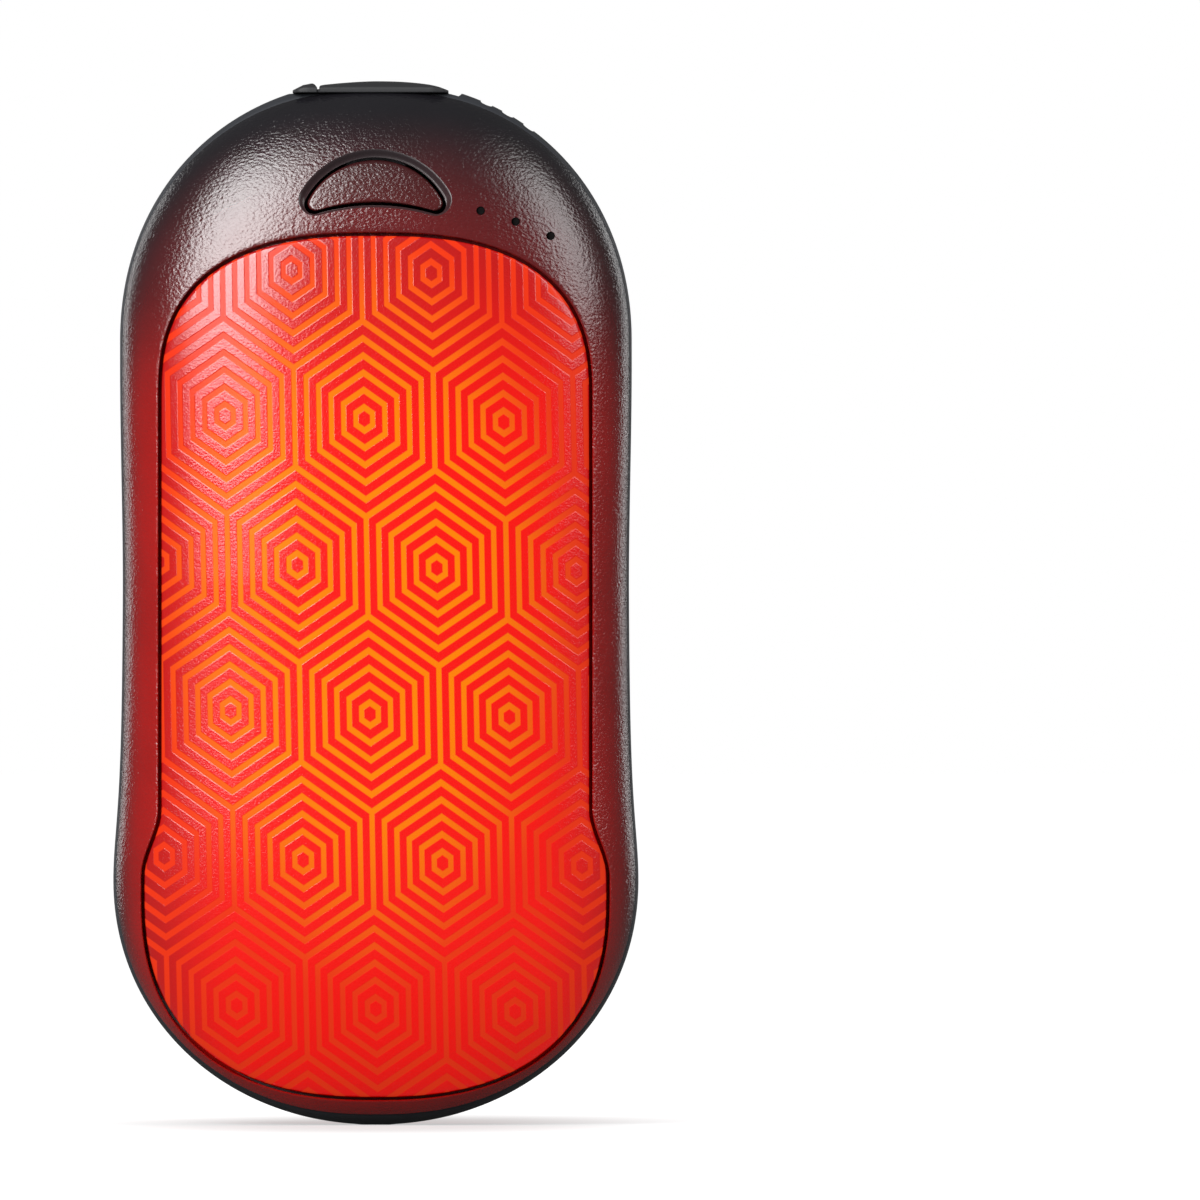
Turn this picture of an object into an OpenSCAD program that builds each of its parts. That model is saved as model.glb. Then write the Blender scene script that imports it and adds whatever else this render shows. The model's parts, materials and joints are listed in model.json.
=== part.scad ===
// Rechargeable hand warmer with two cells, two heated metal panels and a rubber port cover.
// It stands upright: +Z runs along its length, the button faces -Y and the port opens at the top.
// The origin is at the middle of its rounded bottom, and every length is in millimetres.

/* [Case] */
// Width across the hips
hip_w = 55; // [54:0.5:60]
// Width across the waist
waist_w = 52.8; // [51.5:0.1:54]
// Width across the shoulders
shoulder_w = 53.5; // [52:0.1:55]
// Thickness at the belly
case_t = 28.4; // [28:0.1:32]
// Height of the full outline, from the bottom to the crest of the top arc
case_h = 109.25; // [109:0.25:116]
// Height of the hip line, where the bottom arc begins
hip_z = 25.6; // [23:0.1:29]
// Height over which the hips draw in to the waist
hip_fade = 9; // [6:0.5:14]
// Height of the waist
waist_z = 55; // [50:1:58]
// Height over which the waist widens to the shoulders
shoulder_rise = 25; // [15:1:27]
// Height of the arc above the shoulder line
top_arc_h = 27.25; // [25:0.25:30]
// Height of the belly, the thickest place
belly_z = 57; // [52:1:60]
// Depth of the flat port land below the crest
land_drop = 1.35; // [1.2:0.05:1.6]
// Wall of the two shells
shell_wall = 2.4; // [2.2:0.1:2.6]

/* [Centre band] */
// Thickness of the band at the belly
band_mid_t = 4.7; // [4.2:0.1:5.2]
// Thickness of the band at its two ends
band_end_t = 6.2; // [5.8:0.1:6.6]
// Shadow gap between the band and each shell
seam_gap = 0.1; // [0.05:0.05:0.2]
// Number of vent slots on the shoulder
vent_count = 3; // [1:1:4]
// Length of a vent slot
vent_l = 3.8; // [3:0.1:4.4]
// Width of a vent slot
vent_w = 1.3; // [0.8:0.1:1.5]
// Distance from the middle to the first vent slot
vent_first_x = 11.6; // [11:0.1:12.5]
// Step from one vent slot to the next
vent_pitch = 2.2; // [2:0.1:2.6]

/* [Heat panels] */
// Thickness of a metal panel
panel_t = 1; // [0.8:0.05:1.1]
// Groove round a panel
panel_gap = 0.35; // [0.2:0.05:0.5]
// Width of the rim beside the panel at the waist
bezel_w = 4.1; // [3.8:0.1:5]
// Width of the rim beside the panel at the hips
hip_bezel_w = 3.4; // [3:0.1:4]
// Height of the lowest point of the panel
panel_foot_z = 3; // [2.6:0.1:5]
// Height of the bottom arc of the panel
panel_foot_arc_h = 21; // [18:0.5:23]
// Height over which the panel narrows above the hips
panel_step_h = 7; // [4:0.5:10]
// Depth of the panel top below the port land
panel_top_drop = 14.6; // [14.2:0.1:17]
// Height of the top arc of the panel
panel_top_arc_h = 17.3; // [14:0.1:20]
// Width of the ledge that carries the panel at its sides
ledge_w = 2.4; // [1.6:0.1:3.5]

/* [Button and lights] */
// Depth of the button top below the port land
button_drop = 7.1; // [6.9:0.1:7.4]
// Radius of the upper edge of the button
button_top_r = 7.9; // [7.6:0.1:8.1]
// Radius of the lower edge of the button
button_low_r = 21.8; // [18:0.1:26]
// Height of the button at its middle
button_h = 4.45; // [4.2:0.05:4.6]
// Travel of the button
button_travel = 0.5; // [0.3:0.05:0.6]
// Distance from the middle to the first indicator light
led_first_x = 11; // [10.5:0.1:11.5]
// Sideways step from one light to the next
led_pitch = 3.65; // [3.2:0.05:3.7]
// Radius of the arc on which the lights lie
led_arc_r = 43.85; // [40:0.05:50]
// Depth of the crest of that arc below the port land
led_arc_drop = 11; // [10.5:0.1:11.5]
// Diameter of a light hole
led_hole_d = 0.9; // [0.8:0.05:1.2]

/* [Cells] */
// Diameter of a cell
cell_d = 18.4; // [18:0.1:18.5]
// Height of the lower end of the cells
cell_base_z = 17; // [16.8:0.1:17.4]
// Depth of the upper end of the cells below the port land, which sets their length
cell_top_drop = 25.7; // [25.3:0.1:26.9]

/* [Port] */
// Width of the charging socket shell
usb_w = 8.94; // [8.9:0.01:9]
// Thickness of the charging socket shell
usb_t = 3.26; // [3.2:0.01:3.3]
// Length of the charging socket shell
usb_l = 7.35; // [7:0.05:7.6]
// Distance from the middle to the hinge of the port cover
flap_hinge_x = 5.95; // [5.8:0.05:6.2]
// Distance from the middle to the tip of the port cover
flap_tip_x = 7.6; // [7.3:0.1:7.9]
// Width of the port cover
flap_w = 7.7; // [7:0.1:7.8]
// Thickness of the port cover at its crown
flap_crown_t = 1.25; // [1.1:0.05:1.35]

/* [Hidden] */
$fn = 32;

// Overrun of a cut past the face that it opens
over = 1;
// Clearance between pieces that are assembled by hand
fit = 0.1;
// Clearance between pieces that lie against each other
touch = 0.05;

// Roundness of the bottom arc, the top arc and the cross-section of the case
foot_round_share = 2.06;
crest_round_share = 2.1;
section_round_share = 2.35;
// Side profile below and above the belly: extra fullness and the two roundness values
low_full_share = 0.95;
low_round_shares = [1.452, 1.695];
high_full_share = 0.679;
high_round_shares = [1.659, 1.69];
// Roundness of the panel's bottom and top arcs
panel_foot_round_share = 2.45;
panel_top_round_share = 2.6;
// Steps along the height and points round a section, outside and inside the walls
form_steps = 22;
ring_points = 32;
core_steps = 14;
core_points = 24;
// Height at which the bottom closes with a small flat, and the least half size of a section
tip_h = 0.4;
core_min = 0.3;

land_z = case_h - land_drop;
shoulder_z = case_h - top_arc_h;
far_y = case_t;
cell_r = cell_d / 2;
cell_gap = 0.1;
cell_x = cell_r + cell_gap / 2;
cell_top_z = land_z - cell_top_drop;
cell_l = cell_top_z - cell_base_z;

// Depth to which a vent slot is cut, well past the wall
vent_reach = 4.8;

// Panel seat: glue line under the panel, and the opening behind the cells
glue_t = 0.1;
tray_inset = panel_t + glue_t;
panel_arc_z = panel_foot_z + panel_foot_arc_h;
panel_seam_gap = 0.3;
panel_step_drop = 2;
panel_step_z = panel_arc_z + panel_step_drop;
panel_top_z = land_z - panel_top_drop;
panel_top_arc_z = panel_top_z - panel_top_arc_h;
window_foot_drop = 3;
window_top_drop = 0.7;
window_low_z = cell_base_z - window_foot_drop;
window_top_z = cell_top_z - window_top_drop;
window_corner_r = 4;

// Heating film and foam pad behind each panel
film_t = 0.25;
film_inset = panel_t + glue_t;
film_margin = 1.5;
film_low_z = window_low_z + film_margin;
film_top_z = window_top_z - film_margin;
foam_margin = 3.5;
foam_inset = film_inset + film_t + touch;

// Case screws, their posts in the back shell and their bosses in the front shell
screw_head_r = 1.9;
screw_head_h = 1.3;
screw_shank_r = 1;
screw_l = 8;
screw_taper_share = 0.33;
post_r = 3;
boss_r = 2.6;
boss_meet_y = 3;
top_screw_x = 16.5;
top_screw_rise = 3.1;
low_screw_share = 0.21;
low_screw_x = hip_w * low_screw_share;
low_screw_drop = 7.5;
screw_places = [
    [-top_screw_x, cell_top_z + top_screw_rise], [top_screw_x, cell_top_z + top_screw_rise],
    [-low_screw_x, cell_base_z - low_screw_drop], [low_screw_x, cell_base_z - low_screw_drop]
];
post_root = 0.6;

// Control board, its two screws and the parts on it
board_t = 1.2;
board_y = usb_t / 2;
board_r = 22.5;
board_top_drop = 3.4;
board_top_z = land_z - board_top_drop;
board_low_rise = 6.3;
board_low_z = cell_top_z + board_low_rise;
board_half_w = 20;
board_screw_x = 15.5;
board_screw_rise = 1.8;
board_screw_z = board_low_z + board_screw_rise;
board_screw_head_r = 1.6;
board_screw_head_h = 1;
board_screw_shank_r = 0.8;
board_screw_l = 4.5;
board_post_r = 2.1;

// Charging socket
usb_sink = 0.3;
usb_wall = 0.3;
usb_mouth_z = land_z - usb_sink;
usb_base_z = usb_mouth_z - usb_l;
usb_base_t = 1.6;
tongue_w = 6.69;
tongue_t = 0.7;
tongue_sink = 1.2;
port_gap = 0.18;

// Push switch under the button
tact_w = 6;
tact_h = 3.5;
tact_gap = 0.25;
tact_z = usb_base_z - tact_gap - tact_w / 2;
tact_y = board_y - tact_h;
tact_corner = 0.6;
tact_cover_t = 0.3;
plunger_r = 1.75;
plunger_l = 2.6;
plunger_seat = 1.1;
plunger_gap = 0.06;

// Button cap, its collar in the shell and the dished rim round it
button_gap = 0.3;
button_sink = 0.3;
button_corner_r = 0.8;
button_rim = 1.1;
button_rim_depth = 0.55;
button_flange_w = 0.7;
button_flange_t = 0.7;
button_flange_y = 5.45;
button_pocket_w = button_gap + button_flange_w + fit;
button_collar_w = 1.2;
button_nub_r = 1.5;
button_top_z = land_z - button_drop;
button_arc_z = button_top_z - button_top_r;
button_low_z = button_top_z - button_h;

// Indicator lights and the light pipe
led_count = 3;
led_w = 1.6;
led_h = 0.8;
led_t = 0.6;
prong_gap = 0.06;
prong_r = led_hole_d / 2 - prong_gap;
prong_sink = 0.25;
pipe_bar_y = 3;
pipe_bar_t = 1;
pipe_bar_r = 0.9;

// Cell frames and the strips that join the cells
frame_wall = 1;
frame_depth = 6;
frame_plate_t = 1.2;
frame_window_r = 6.2;
frame_notch_half_w = 2.6;
frame_notch_y = 5.6;
foam_gap = 0.4;
foam_low_z = cell_base_z + frame_depth + foam_gap;
foam_top_z = cell_top_z - frame_depth - foam_gap;
strip_t = 0.2;
strip_half_l = 13;
strip_half_w = 4;
strip_slit_w = 0.8;
strip_slit_l = 5;
nub_r = 2.9;
nub_h = 0.6;
crimp_depth = 0.5;
crimp_h = 1.2;
crimp_drop = 3;

// Inductor, chips and lead connectors on the board
inductor_w = 5;
inductor_h = 2.8;
inductor_x = 10;
inductor_rise = 3.7;
inductor_core_r = 1.9;
inductor_core_h = 0.3;
chip_t = 0.9;
chip_w = 4;
chip_l = 4.9;
chip_x = 7.8;
chip_rise = 8.6;
chip_back_x = 6.5;
connector_w = 5;
connector_h = 4;
connector_out = 4.2;
connector_rise = 0.4;
connector_z = board_low_z + connector_rise;
front_connector_x = -5;
battery_connector_x = -4.5;
back_connector_x = 4.5;

// Leads and thermistor: thicknesses, and the valley between the cells in which they run
lead_r = 0.65;
heater_lead_r = 0.45;
sensor_lead_r = 0.25;
sensor_half_step = 0.3;
lead_step = 1.3;
heater_pin_x = 0.8;
sensor_pin_x = 0.6;
bead_r = 0.8;
valley_y = 7.2;
film_valley_y = 8.3;
bend_rise = 2.6;
sensor_x = -1.8;
heater_x = 0.5;
battery_lead_x = -1.7;
strip_tab_x = 5.4;
strip_tab_y = 2.4;

// Port cover and its anchor
land_gap = 0.04;
flap_edge_t = 0.6;
flap_tip_t = 0.62;
flap_hinge_t = 0.8;
flap_tip_w = 5.4;
flap_slice = 0.01;
plug_l = 7.7;
plug_t = 2.1;
plug_depth = 1.1;
anchor_gap = 0.22;
anchor_tip_x = 8.7;
anchor_t = 1.05;
anchor_step_t = 0.65;
anchor_tip_t = 0.3;
anchor_tip_w = 4.6;
stem_x = 7.3;
stem_l = 3.4;
stem_t = 1.1;
stem_gap = 0.12;
barb_l = 4.4;
barb_t = 2;
barb_h = 0.9;
barb_drop = 0.9;
nail_x = 8.3;
nail_r = 0.8;
nail_l = 4.6;
nail_lift = 0.4;

// A smooth rise from 0 to 1
function smooth(t) = let (u = min(1, max(0, t))) u * u * (3 - 2 * u);
// A rounded arc that falls from 1 to 0 as u goes from 0 to 1
function arc_share(u, power) = pow(max(0, 1 - pow(max(0, u), power)), 1 / power);

// Half width of the case sides, before the two end arcs close them
function side_half(z) = waist_w / 2
    + (hip_w - waist_w) / 2 / (1 + pow(max(0, z - hip_z) / hip_fade, 2))
    + (shoulder_w - waist_w) / 2 * smooth((z - waist_z) / shoulder_rise);

// Half width of the case at a height
function half_w(z) = side_half(z) * (
    z < hip_z ? arc_share((hip_z - z) / hip_z, foot_round_share)
    : z > shoulder_z ? arc_share((z - shoulder_z) / top_arc_h, crest_round_share)
    : 1);

function belly_arc(u, full, rounds) =
    (1 + full * u * u) * pow(max(0, 1 - pow(u, rounds[0])), 1 / rounds[1]);

// Half thickness of the case at a height
function half_t(z) = case_t / 2 * (
    z < belly_z ? belly_arc((belly_z - z) / belly_z, low_full_share, low_round_shares)
    : belly_arc((z - belly_z) / (case_h - belly_z), high_full_share, high_round_shares));

// Height of a step on the outer form, which crowds its steps towards the two ends
function step_z(i, steps) = land_z * (1 - cos(180 * i / steps)) / 2;
// Height, half width and half thickness there, with the form drawn in by an inset
function inset_z(z, inset) = inset + z * (case_h - 2 * inset) / case_h;
function inset_w(z, inset) = max(core_min, half_w(max(tip_h, z)) - inset);
function inset_t(z, inset) = max(core_min, half_t(max(tip_h, z)) - inset);

function signed_pow(v, power) = sign(v) * pow(abs(v), power);
function ring(z, inset, count) = [
    for (k = [0 : count - 1])
        let (a = 360 * k / count, power = 2 / section_round_share)
        [
            inset_w(z, inset) * signed_pow(cos(a), power),
            inset_t(z, inset) * signed_pow(sin(a), power),
            inset_z(z, inset)
        ]
];

// Distance from the middle plane to the form drawn in by an inset, at a place on its face
function face_y(x, z, inset) =
    let (outer_z = (z - inset) * case_h / (case_h - 2 * inset))
    (half_t(outer_z) - inset)
        * arc_share(abs(x) / (half_w(outer_z) - inset), section_round_share);

// Height of the outline above a place on the shoulder
function shoulder_top(x) =
    shoulder_z + top_arc_h * arc_share(abs(x) / (shoulder_w / 2), crest_round_share);

// Half thickness of the centre band at a height
function band_half(z) =
    (band_mid_t + (band_end_t - band_mid_t) * pow((z - belly_z) / belly_z, 2)) / 2;

// Half width of a panel at a height, on the straight part and the hip step
function panel_side(z) = waist_w / 2 - bezel_w
    + (hip_w / 2 - hip_bezel_w - waist_w / 2 + bezel_w)
        * smooth((panel_step_z + panel_step_h - z) / panel_step_h);

function led_x(i) = led_first_x + i * led_pitch;
function led_z(i) =
    land_z - led_arc_drop - led_arc_r + sqrt(pow(led_arc_r, 2) - pow(led_x(i), 2));

// Outer face of a screw head, kept under the panel all round the head
function head_y(place) = face_y(
    abs(place[0]) + screw_head_r,
    place[1] + (place[1] < belly_z ? -screw_head_r : screw_head_r),
    tray_inset) - fit;

// The rounded body of the case, as a loft of sections, drawn in by an inset
module case_form(inset = 0, steps = form_steps, count = ring_points) {
    first_cap = [for (k = [0 : count - 1]) k];
    last_cap = [for (k = [0 : count - 1]) count + k];
    for (i = [0 : steps - 1])
        hull()
            polyhedron(
                points = concat(
                    ring(step_z(i, steps), inset, count), ring(step_z(i + 1, steps), inset, count)
                ),
                faces = [first_cap, last_cap]
            );
}

// The same form with fewer faces, for what lies inside the case
module inner_form(inset) {
    case_form(inset, core_steps, core_points);
}

// The space inside the shells, drawn in by a further inset
module core_form(inset = 0) {
    inner_form(shell_wall + inset);
}

// A flat outline, drawn with its height as z, carried along Y from y0 to y1
module along_y(y0, y1) {
    translate([0, y1, 0])
        rotate([90, 0, 0])
            linear_extrude(y1 - y0)
                children();
}

// A slot shape with round ends
module racetrack(l, t) {
    square([l - t, t], center = true);
    for (side = [-1, 1])
        translate([side * (l - t) / 2, 0])
            circle(d = t);
}

// Everything behind the seam of the front shell
module behind_seam() {
    heights = [for (i = [0 : form_steps]) case_h * i / form_steps];
    translate([-hip_w, 0, 0])
        rotate([90, 0, 90])
            linear_extrude(2 * hip_w)
                polygon(concat(
                    [[far_y, -over], [-band_half(0) - seam_gap, -over]],
                    [for (z = heights) [-band_half(z) - seam_gap, z]],
                    [[far_y, case_h]]
                ));
}

// The slice of space that the centre band fills
module band_zone() {
    heights = [for (i = [0 : form_steps]) case_h * i / form_steps];
    translate([-hip_w, 0, 0])
        rotate([90, 0, 90])
            linear_extrude(2 * hip_w)
                polygon(concat(
                    [for (z = heights) [-band_half(z), z]],
                    [for (i = [0 : form_steps]) [
                        band_half(heights[form_steps - i]), heights[form_steps - i]
                    ]]
                ));
}

// Outline of a panel, with rounded ends and a step out at the hips
module panel_outline() {
    arc_steps = 9;
    side_steps = 4;
    foot = [
        for (k = [0 : arc_steps]) let (a = 90 * k / arc_steps) [
            panel_side(panel_arc_z) * pow(sin(a), 2 / panel_foot_round_share),
            panel_arc_z - panel_foot_arc_h * pow(cos(a), 2 / panel_foot_round_share)
        ]
    ];
    hip = [
        for (k = [0 : side_steps]) let (z = panel_step_z + panel_step_h * k / side_steps)
        [panel_side(z), z]
    ];
    top = [
        for (k = [0 : arc_steps]) let (a = 90 * k / arc_steps) [
            panel_side(panel_top_arc_z) * pow(cos(a), 2 / panel_top_round_share),
            panel_top_arc_z + panel_top_arc_h * pow(sin(a), 2 / panel_top_round_share)
        ]
    ];
    right = concat(foot, hip, top);
    left = [for (k = [len(right) - 2 : -1 : 1]) [-right[k][0], right[k][1]]];
    polygon(concat(right, left));
}

// Opening behind a panel, where the heat goes through the shell
module window_outline(inset = 0) {
    intersection() {
        offset(delta = -ledge_w - inset)
            panel_outline();
        translate([-hip_w / 2, window_low_z + inset])
            square([hip_w, window_top_z - window_low_z - 2 * inset]);
    }
}

// Rounded rectangle between two heights
module pad_outline(half, low_z, top_z) {
    offset(r = window_corner_r, $fn = 8)
        translate([-half + window_corner_r, low_z + window_corner_r])
            square([2 * (half - window_corner_r), top_z - low_z - 2 * window_corner_r]);
}

// Half-moon outline of the button, with its edges moved out at the top and at the bottom
module button_outline(top_out = 0, low_out = 0) {
    offset(r = button_corner_r, $fn = 12)
        offset(delta = -button_corner_r)
            difference() {
                translate([0, button_arc_z])
                    circle(r = button_top_r + top_out, $fn = 48);
                translate([0, button_low_z - button_low_r])
                    circle(r = button_low_r - low_out, $fn = 72);
            }
}

// Half of the hollow case on the -Y side, up to the seam
module hollow_half() {
    difference() {
        case_form();
        core_form();
        behind_seam();
    }
}

// Seat of a panel: everything over the tray floor, inside the panel's groove
module panel_tray() {
    difference() {
        along_y(-far_y, 0)
            offset(delta = panel_gap)
                panel_outline();
        case_form(tray_inset);
    }
    along_y(-far_y, 0)
        window_outline();
}

// A peg along Y that ends inside the shell wall
module rooted_peg(place, r, y_end) {
    intersection() {
        core_form(-post_root);
        translate([place[0], y_end, place[1]])
            rotate([90, 0, 0])
                cylinder(r = r, h = far_y + y_end, $fn = 12);
    }
}

module front_shell() {
    color([0.16, 0.15, 0.16])
        difference() {
            union() {
                hollow_half();
                for (place = screw_places)
                    rooted_peg(place, boss_r, boss_meet_y - touch);
                intersection() {
                    core_form(-post_root);
                    along_y(-far_y, -button_flange_y - button_flange_t - touch)
                        button_outline(button_collar_w, button_collar_w);
                }
            }
            panel_tray();
            for (place = screw_places)
                translate([place[0], -head_y(place) + screw_head_h, place[1]])
                    rotate([-90, 0, 0])
                        cylinder(r = screw_shank_r + fit, h = far_y, $fn = 10);
            along_y(-far_y, 0)
                button_outline(button_gap, button_gap);
            along_y(-button_flange_y - button_flange_t - touch, 0)
                button_outline(button_pocket_w, button_pocket_w);
            difference() {
                along_y(-far_y, 0)
                    button_outline(button_rim, button_gap - touch);
                case_form(button_rim_depth);
            }
            for (i = [0 : led_count - 1])
                translate([led_x(i), 0, led_z(i)])
                    rotate([90, 0, 0])
                        cylinder(d = led_hole_d, h = far_y, $fn = 12);
        }
}

module back_shell() {
    color([0.18, 0.17, 0.19])
        mirror([0, 1, 0])
            difference() {
                union() {
                    hollow_half();
                    for (place = screw_places)
                        rooted_peg(place, post_r, -boss_meet_y);
                    for (side = [-1, 1])
                        rooted_peg(
                            [side * board_screw_x, board_screw_z],
                            board_post_r, -board_y - board_t - touch
                        );
                }
                panel_tray();
                for (place = screw_places)
                    translate([place[0], -head_y(place) + screw_head_h, place[1]])
                        rotate([90, 0, 0]) {
                            cylinder(r = screw_head_r + fit, h = far_y, $fn = 16);
                            translate([0, 0, -far_y])
                                cylinder(r = screw_shank_r + fit, h = far_y + over, $fn = 10);
                        }
                for (side = [-1, 1])
                    translate([side * board_screw_x, -board_y, board_screw_z])
                        rotate([90, 0, 0])
                            cylinder(r = board_screw_shank_r + fit, h = board_screw_l + fit, $fn = 10);
            }
}

module centre_band() {
    inner = [for (i = [0 : core_steps]) let (z = step_z(i, core_steps))
        [inset_w(z, shell_wall), inset_z(z, shell_wall)]];
    color([0.22, 0.24, 0.26])
        difference() {
            intersection() {
                case_form();
                band_zone();
            }
            along_y(-far_y, far_y)
                polygon(concat(
                    inner,
                    [for (i = [0 : core_steps]) [
                        -inner[core_steps - i][0], inner[core_steps - i][1]
                    ]]
                ));
            translate([0, 0, usb_base_z])
                linear_extrude(case_h)
                    racetrack(usb_w + 2 * port_gap, usb_t + 2 * port_gap);
            translate([-stem_x, 0, usb_base_z])
                linear_extrude(case_h)
                    square([stem_t + 2 * stem_gap, stem_l + 2 * stem_gap], center = true);
            for (i = [0 : vent_count - 1])
                vent_cut(vent_first_x + i * vent_pitch);
            translate([nail_x, nail_l / 2, land_z + nail_lift])
                rotate([90, 0, 0])
                    cylinder(r = nail_r, h = nail_l, $fn = 12);
        }
}

// One vent slot, cut square to the shoulder
module vent_cut(x) {
    lean = atan2(shoulder_top(x) - shoulder_top(x + vent_w), vent_w);
    translate([x, 0, shoulder_top(x)])
        rotate([0, lean, 0])
            translate([0, 0, -vent_reach])
                linear_extrude(vent_reach + over, $fn = 12)
                    rotate(90)
                        racetrack(vent_l, vent_w);
}

module heat_panel() {
    color([0.85, 0.12, 0.03])
        intersection() {
            difference() {
                case_form();
                case_form(panel_t);
                translate([0, -panel_seam_gap, 0])
                    behind_seam();
            }
            along_y(-far_y, 0)
                panel_outline();
        }
}

module front_heat_panel() {
    heat_panel();
}

module back_heat_panel() {
    mirror([0, 1, 0])
        heat_panel();
}

module heating_film() {
    color([0.72, 0.42, 0.12])
        intersection() {
            difference() {
                inner_form(film_inset);
                inner_form(film_inset + film_t);
            }
            along_y(-far_y, 0)
                intersection() {
                    window_outline(film_margin);
                    pad_outline(waist_w / 2 - bezel_w - ledge_w - film_margin, film_low_z, film_top_z);
                }
        }
}

module front_heating_film() {
    heating_film();
}

module back_heating_film() {
    mirror([0, 1, 0])
        heating_film();
}

module foam_pad() {
    color([0.3, 0.3, 0.32])
        intersection() {
            inner_form(foam_inset);
            along_y(-far_y, -cell_r - touch)
                pad_outline(waist_w / 2 - bezel_w - ledge_w - foam_margin, foam_low_z, foam_top_z);
        }
}

module front_foam_pad() {
    foam_pad();
}

module back_foam_pad() {
    mirror([0, 1, 0])
        foam_pad();
}

// A cell with its crimp groove below the top and its raised positive terminal
module battery_cell(side) {
    crimp_z = cell_l - nub_h - crimp_drop;
    color([0.25, 0.45, 0.62])
        translate([side * cell_x, 0, cell_base_z])
            difference() {
                union() {
                    cylinder(r = cell_r, h = cell_l - nub_h);
                    cylinder(r = nub_r, h = cell_l);
                }
                translate([0, 0, crimp_z])
                    difference() {
                        cylinder(r = cell_r + over, h = crimp_h);
                        cylinder(r = cell_r - crimp_depth, h = crimp_h);
                    }
            }
}

module battery_cell_left() {
    battery_cell(-1);
}

module battery_cell_right() {
    battery_cell(1);
}

// Moulded frame that holds one end of both cells, from the cell's end face at z = 0 upwards
module cell_frame_blank() {
    difference() {
        translate([0, 0, -frame_depth])
            linear_extrude(frame_depth + strip_t + touch + frame_plate_t, $fn = 32)
                hull()
                    for (side = [-1, 1])
                        translate([side * cell_x, 0])
                            circle(r = cell_r + frame_wall);
        for (side = [-1, 1])
            translate([side * cell_x, 0, -frame_depth - over]) {
                cylinder(r = cell_r + 2 * fit, h = frame_depth + over + strip_t, $fn = 32);
                cylinder(r = frame_window_r, h = frame_depth + case_t, $fn = 16);
            }
        for (side = [-1, 1])
            translate([
                -frame_notch_half_w,
                side > 0 ? frame_notch_y : -frame_notch_y - case_t,
                -frame_depth - over
            ])
                cube([2 * frame_notch_half_w, case_t, frame_depth + case_t]);
        translate([-strip_half_l - fit, -strip_half_w - fit, -over])
            cube([2 * (strip_half_l + fit), 2 * (strip_half_w + fit), over + strip_t + touch]);
    }
}

module cell_frame_top() {
    color([0.55, 0.56, 0.58])
        difference() {
            intersection() {
                translate([0, 0, cell_top_z])
                    cell_frame_blank();
                core_form(fit);
            }
            for (side = [-1, 1])
                translate([side * top_screw_x, case_t, cell_top_z + top_screw_rise])
                    rotate([90, 0, 0])
                        cylinder(r = post_r + 2 * fit, h = 2 * case_t, $fn = 16);
        }
}

module cell_frame_bottom() {
    color([0.55, 0.56, 0.58])
        intersection() {
            translate([0, 0, cell_base_z])
                mirror([0, 0, 1])
                    cell_frame_blank();
            core_form(fit);
        }
}

// Strip welded across the ends of both cells
module nickel_strip(z) {
    color([0.8, 0.8, 0.78])
        translate([0, 0, z])
            linear_extrude(strip_t)
                difference() {
                    square([2 * strip_half_l, 2 * strip_half_w], center = true);
                    for (side = [-1, 1])
                        translate([side * cell_x, 0])
                            square([strip_slit_w, strip_slit_l], center = true);
                }
}

module nickel_strip_top() {
    nickel_strip(cell_top_z);
}

module nickel_strip_bottom() {
    nickel_strip(cell_base_z - strip_t);
}

module control_board() {
    color([0.05, 0.3, 0.16])
        along_y(board_y, board_y + board_t)
            difference() {
                intersection() {
                    translate([0, board_top_z - board_r])
                        circle(r = board_r);
                    translate([-board_half_w, board_low_z])
                        square([2 * board_half_w, board_top_z - board_low_z + over]);
                }
                for (side = [-1, 1])
                    translate([side * board_screw_x, board_screw_z])
                        circle(r = board_screw_shank_r + fit);
            }
}

module usb_socket() {
    color([0.75, 0.76, 0.78])
        translate([0, 0, usb_base_z])
            difference() {
                linear_extrude(usb_l)
                    racetrack(usb_w, usb_t);
                translate([0, 0, usb_base_t])
                    linear_extrude(usb_l)
                        racetrack(usb_w - 2 * usb_wall, usb_t - 2 * usb_wall - touch);
            }
}

module usb_tongue() {
    color([0.1, 0.1, 0.1])
        translate([-tongue_w / 2, -tongue_t / 2, usb_base_z + usb_base_t])
            cube([tongue_w, tongue_t, usb_l - usb_base_t - tongue_sink]);
}

module tact_switch() {
    color([0.14, 0.14, 0.15])
        translate([0, 0, tact_z])
            difference() {
                union() {
                    along_y(tact_y + tact_cover_t, board_y)
                        square(tact_w, center = true);
                    along_y(tact_y, tact_y + tact_cover_t)
                        square(tact_w - 2 * tact_corner, center = true);
                }
                translate([0, tact_y + plunger_seat + button_travel, 0])
                    rotate([90, 0, 0])
                        cylinder(r = plunger_r + plunger_gap, h = tact_h);
            }
}

module switch_plunger() {
    color([0.85, 0.85, 0.82])
        translate([0, tact_y + plunger_seat - touch, tact_z])
            rotate([90, 0, 0])
                cylinder(r = plunger_r, h = plunger_seat + plunger_l - touch);
}

// Half-moon cap whose face follows the case, on a flange behind the shell's collar
module button_cap() {
    color([0.2, 0.15, 0.16])
        union() {
            intersection() {
                case_form(button_sink);
                along_y(-far_y, -button_flange_y - button_flange_t)
                    button_outline();
            }
            along_y(-button_flange_y - button_flange_t, -button_flange_y)
                button_outline(button_gap + button_flange_w, button_gap + button_flange_w);
            translate([0, tact_y - plunger_l, tact_z])
                rotate([90, 0, 0])
                    cylinder(r = button_nub_r, h = button_flange_y - plunger_l + tact_y + touch, $fn = 16);
        }
}

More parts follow.
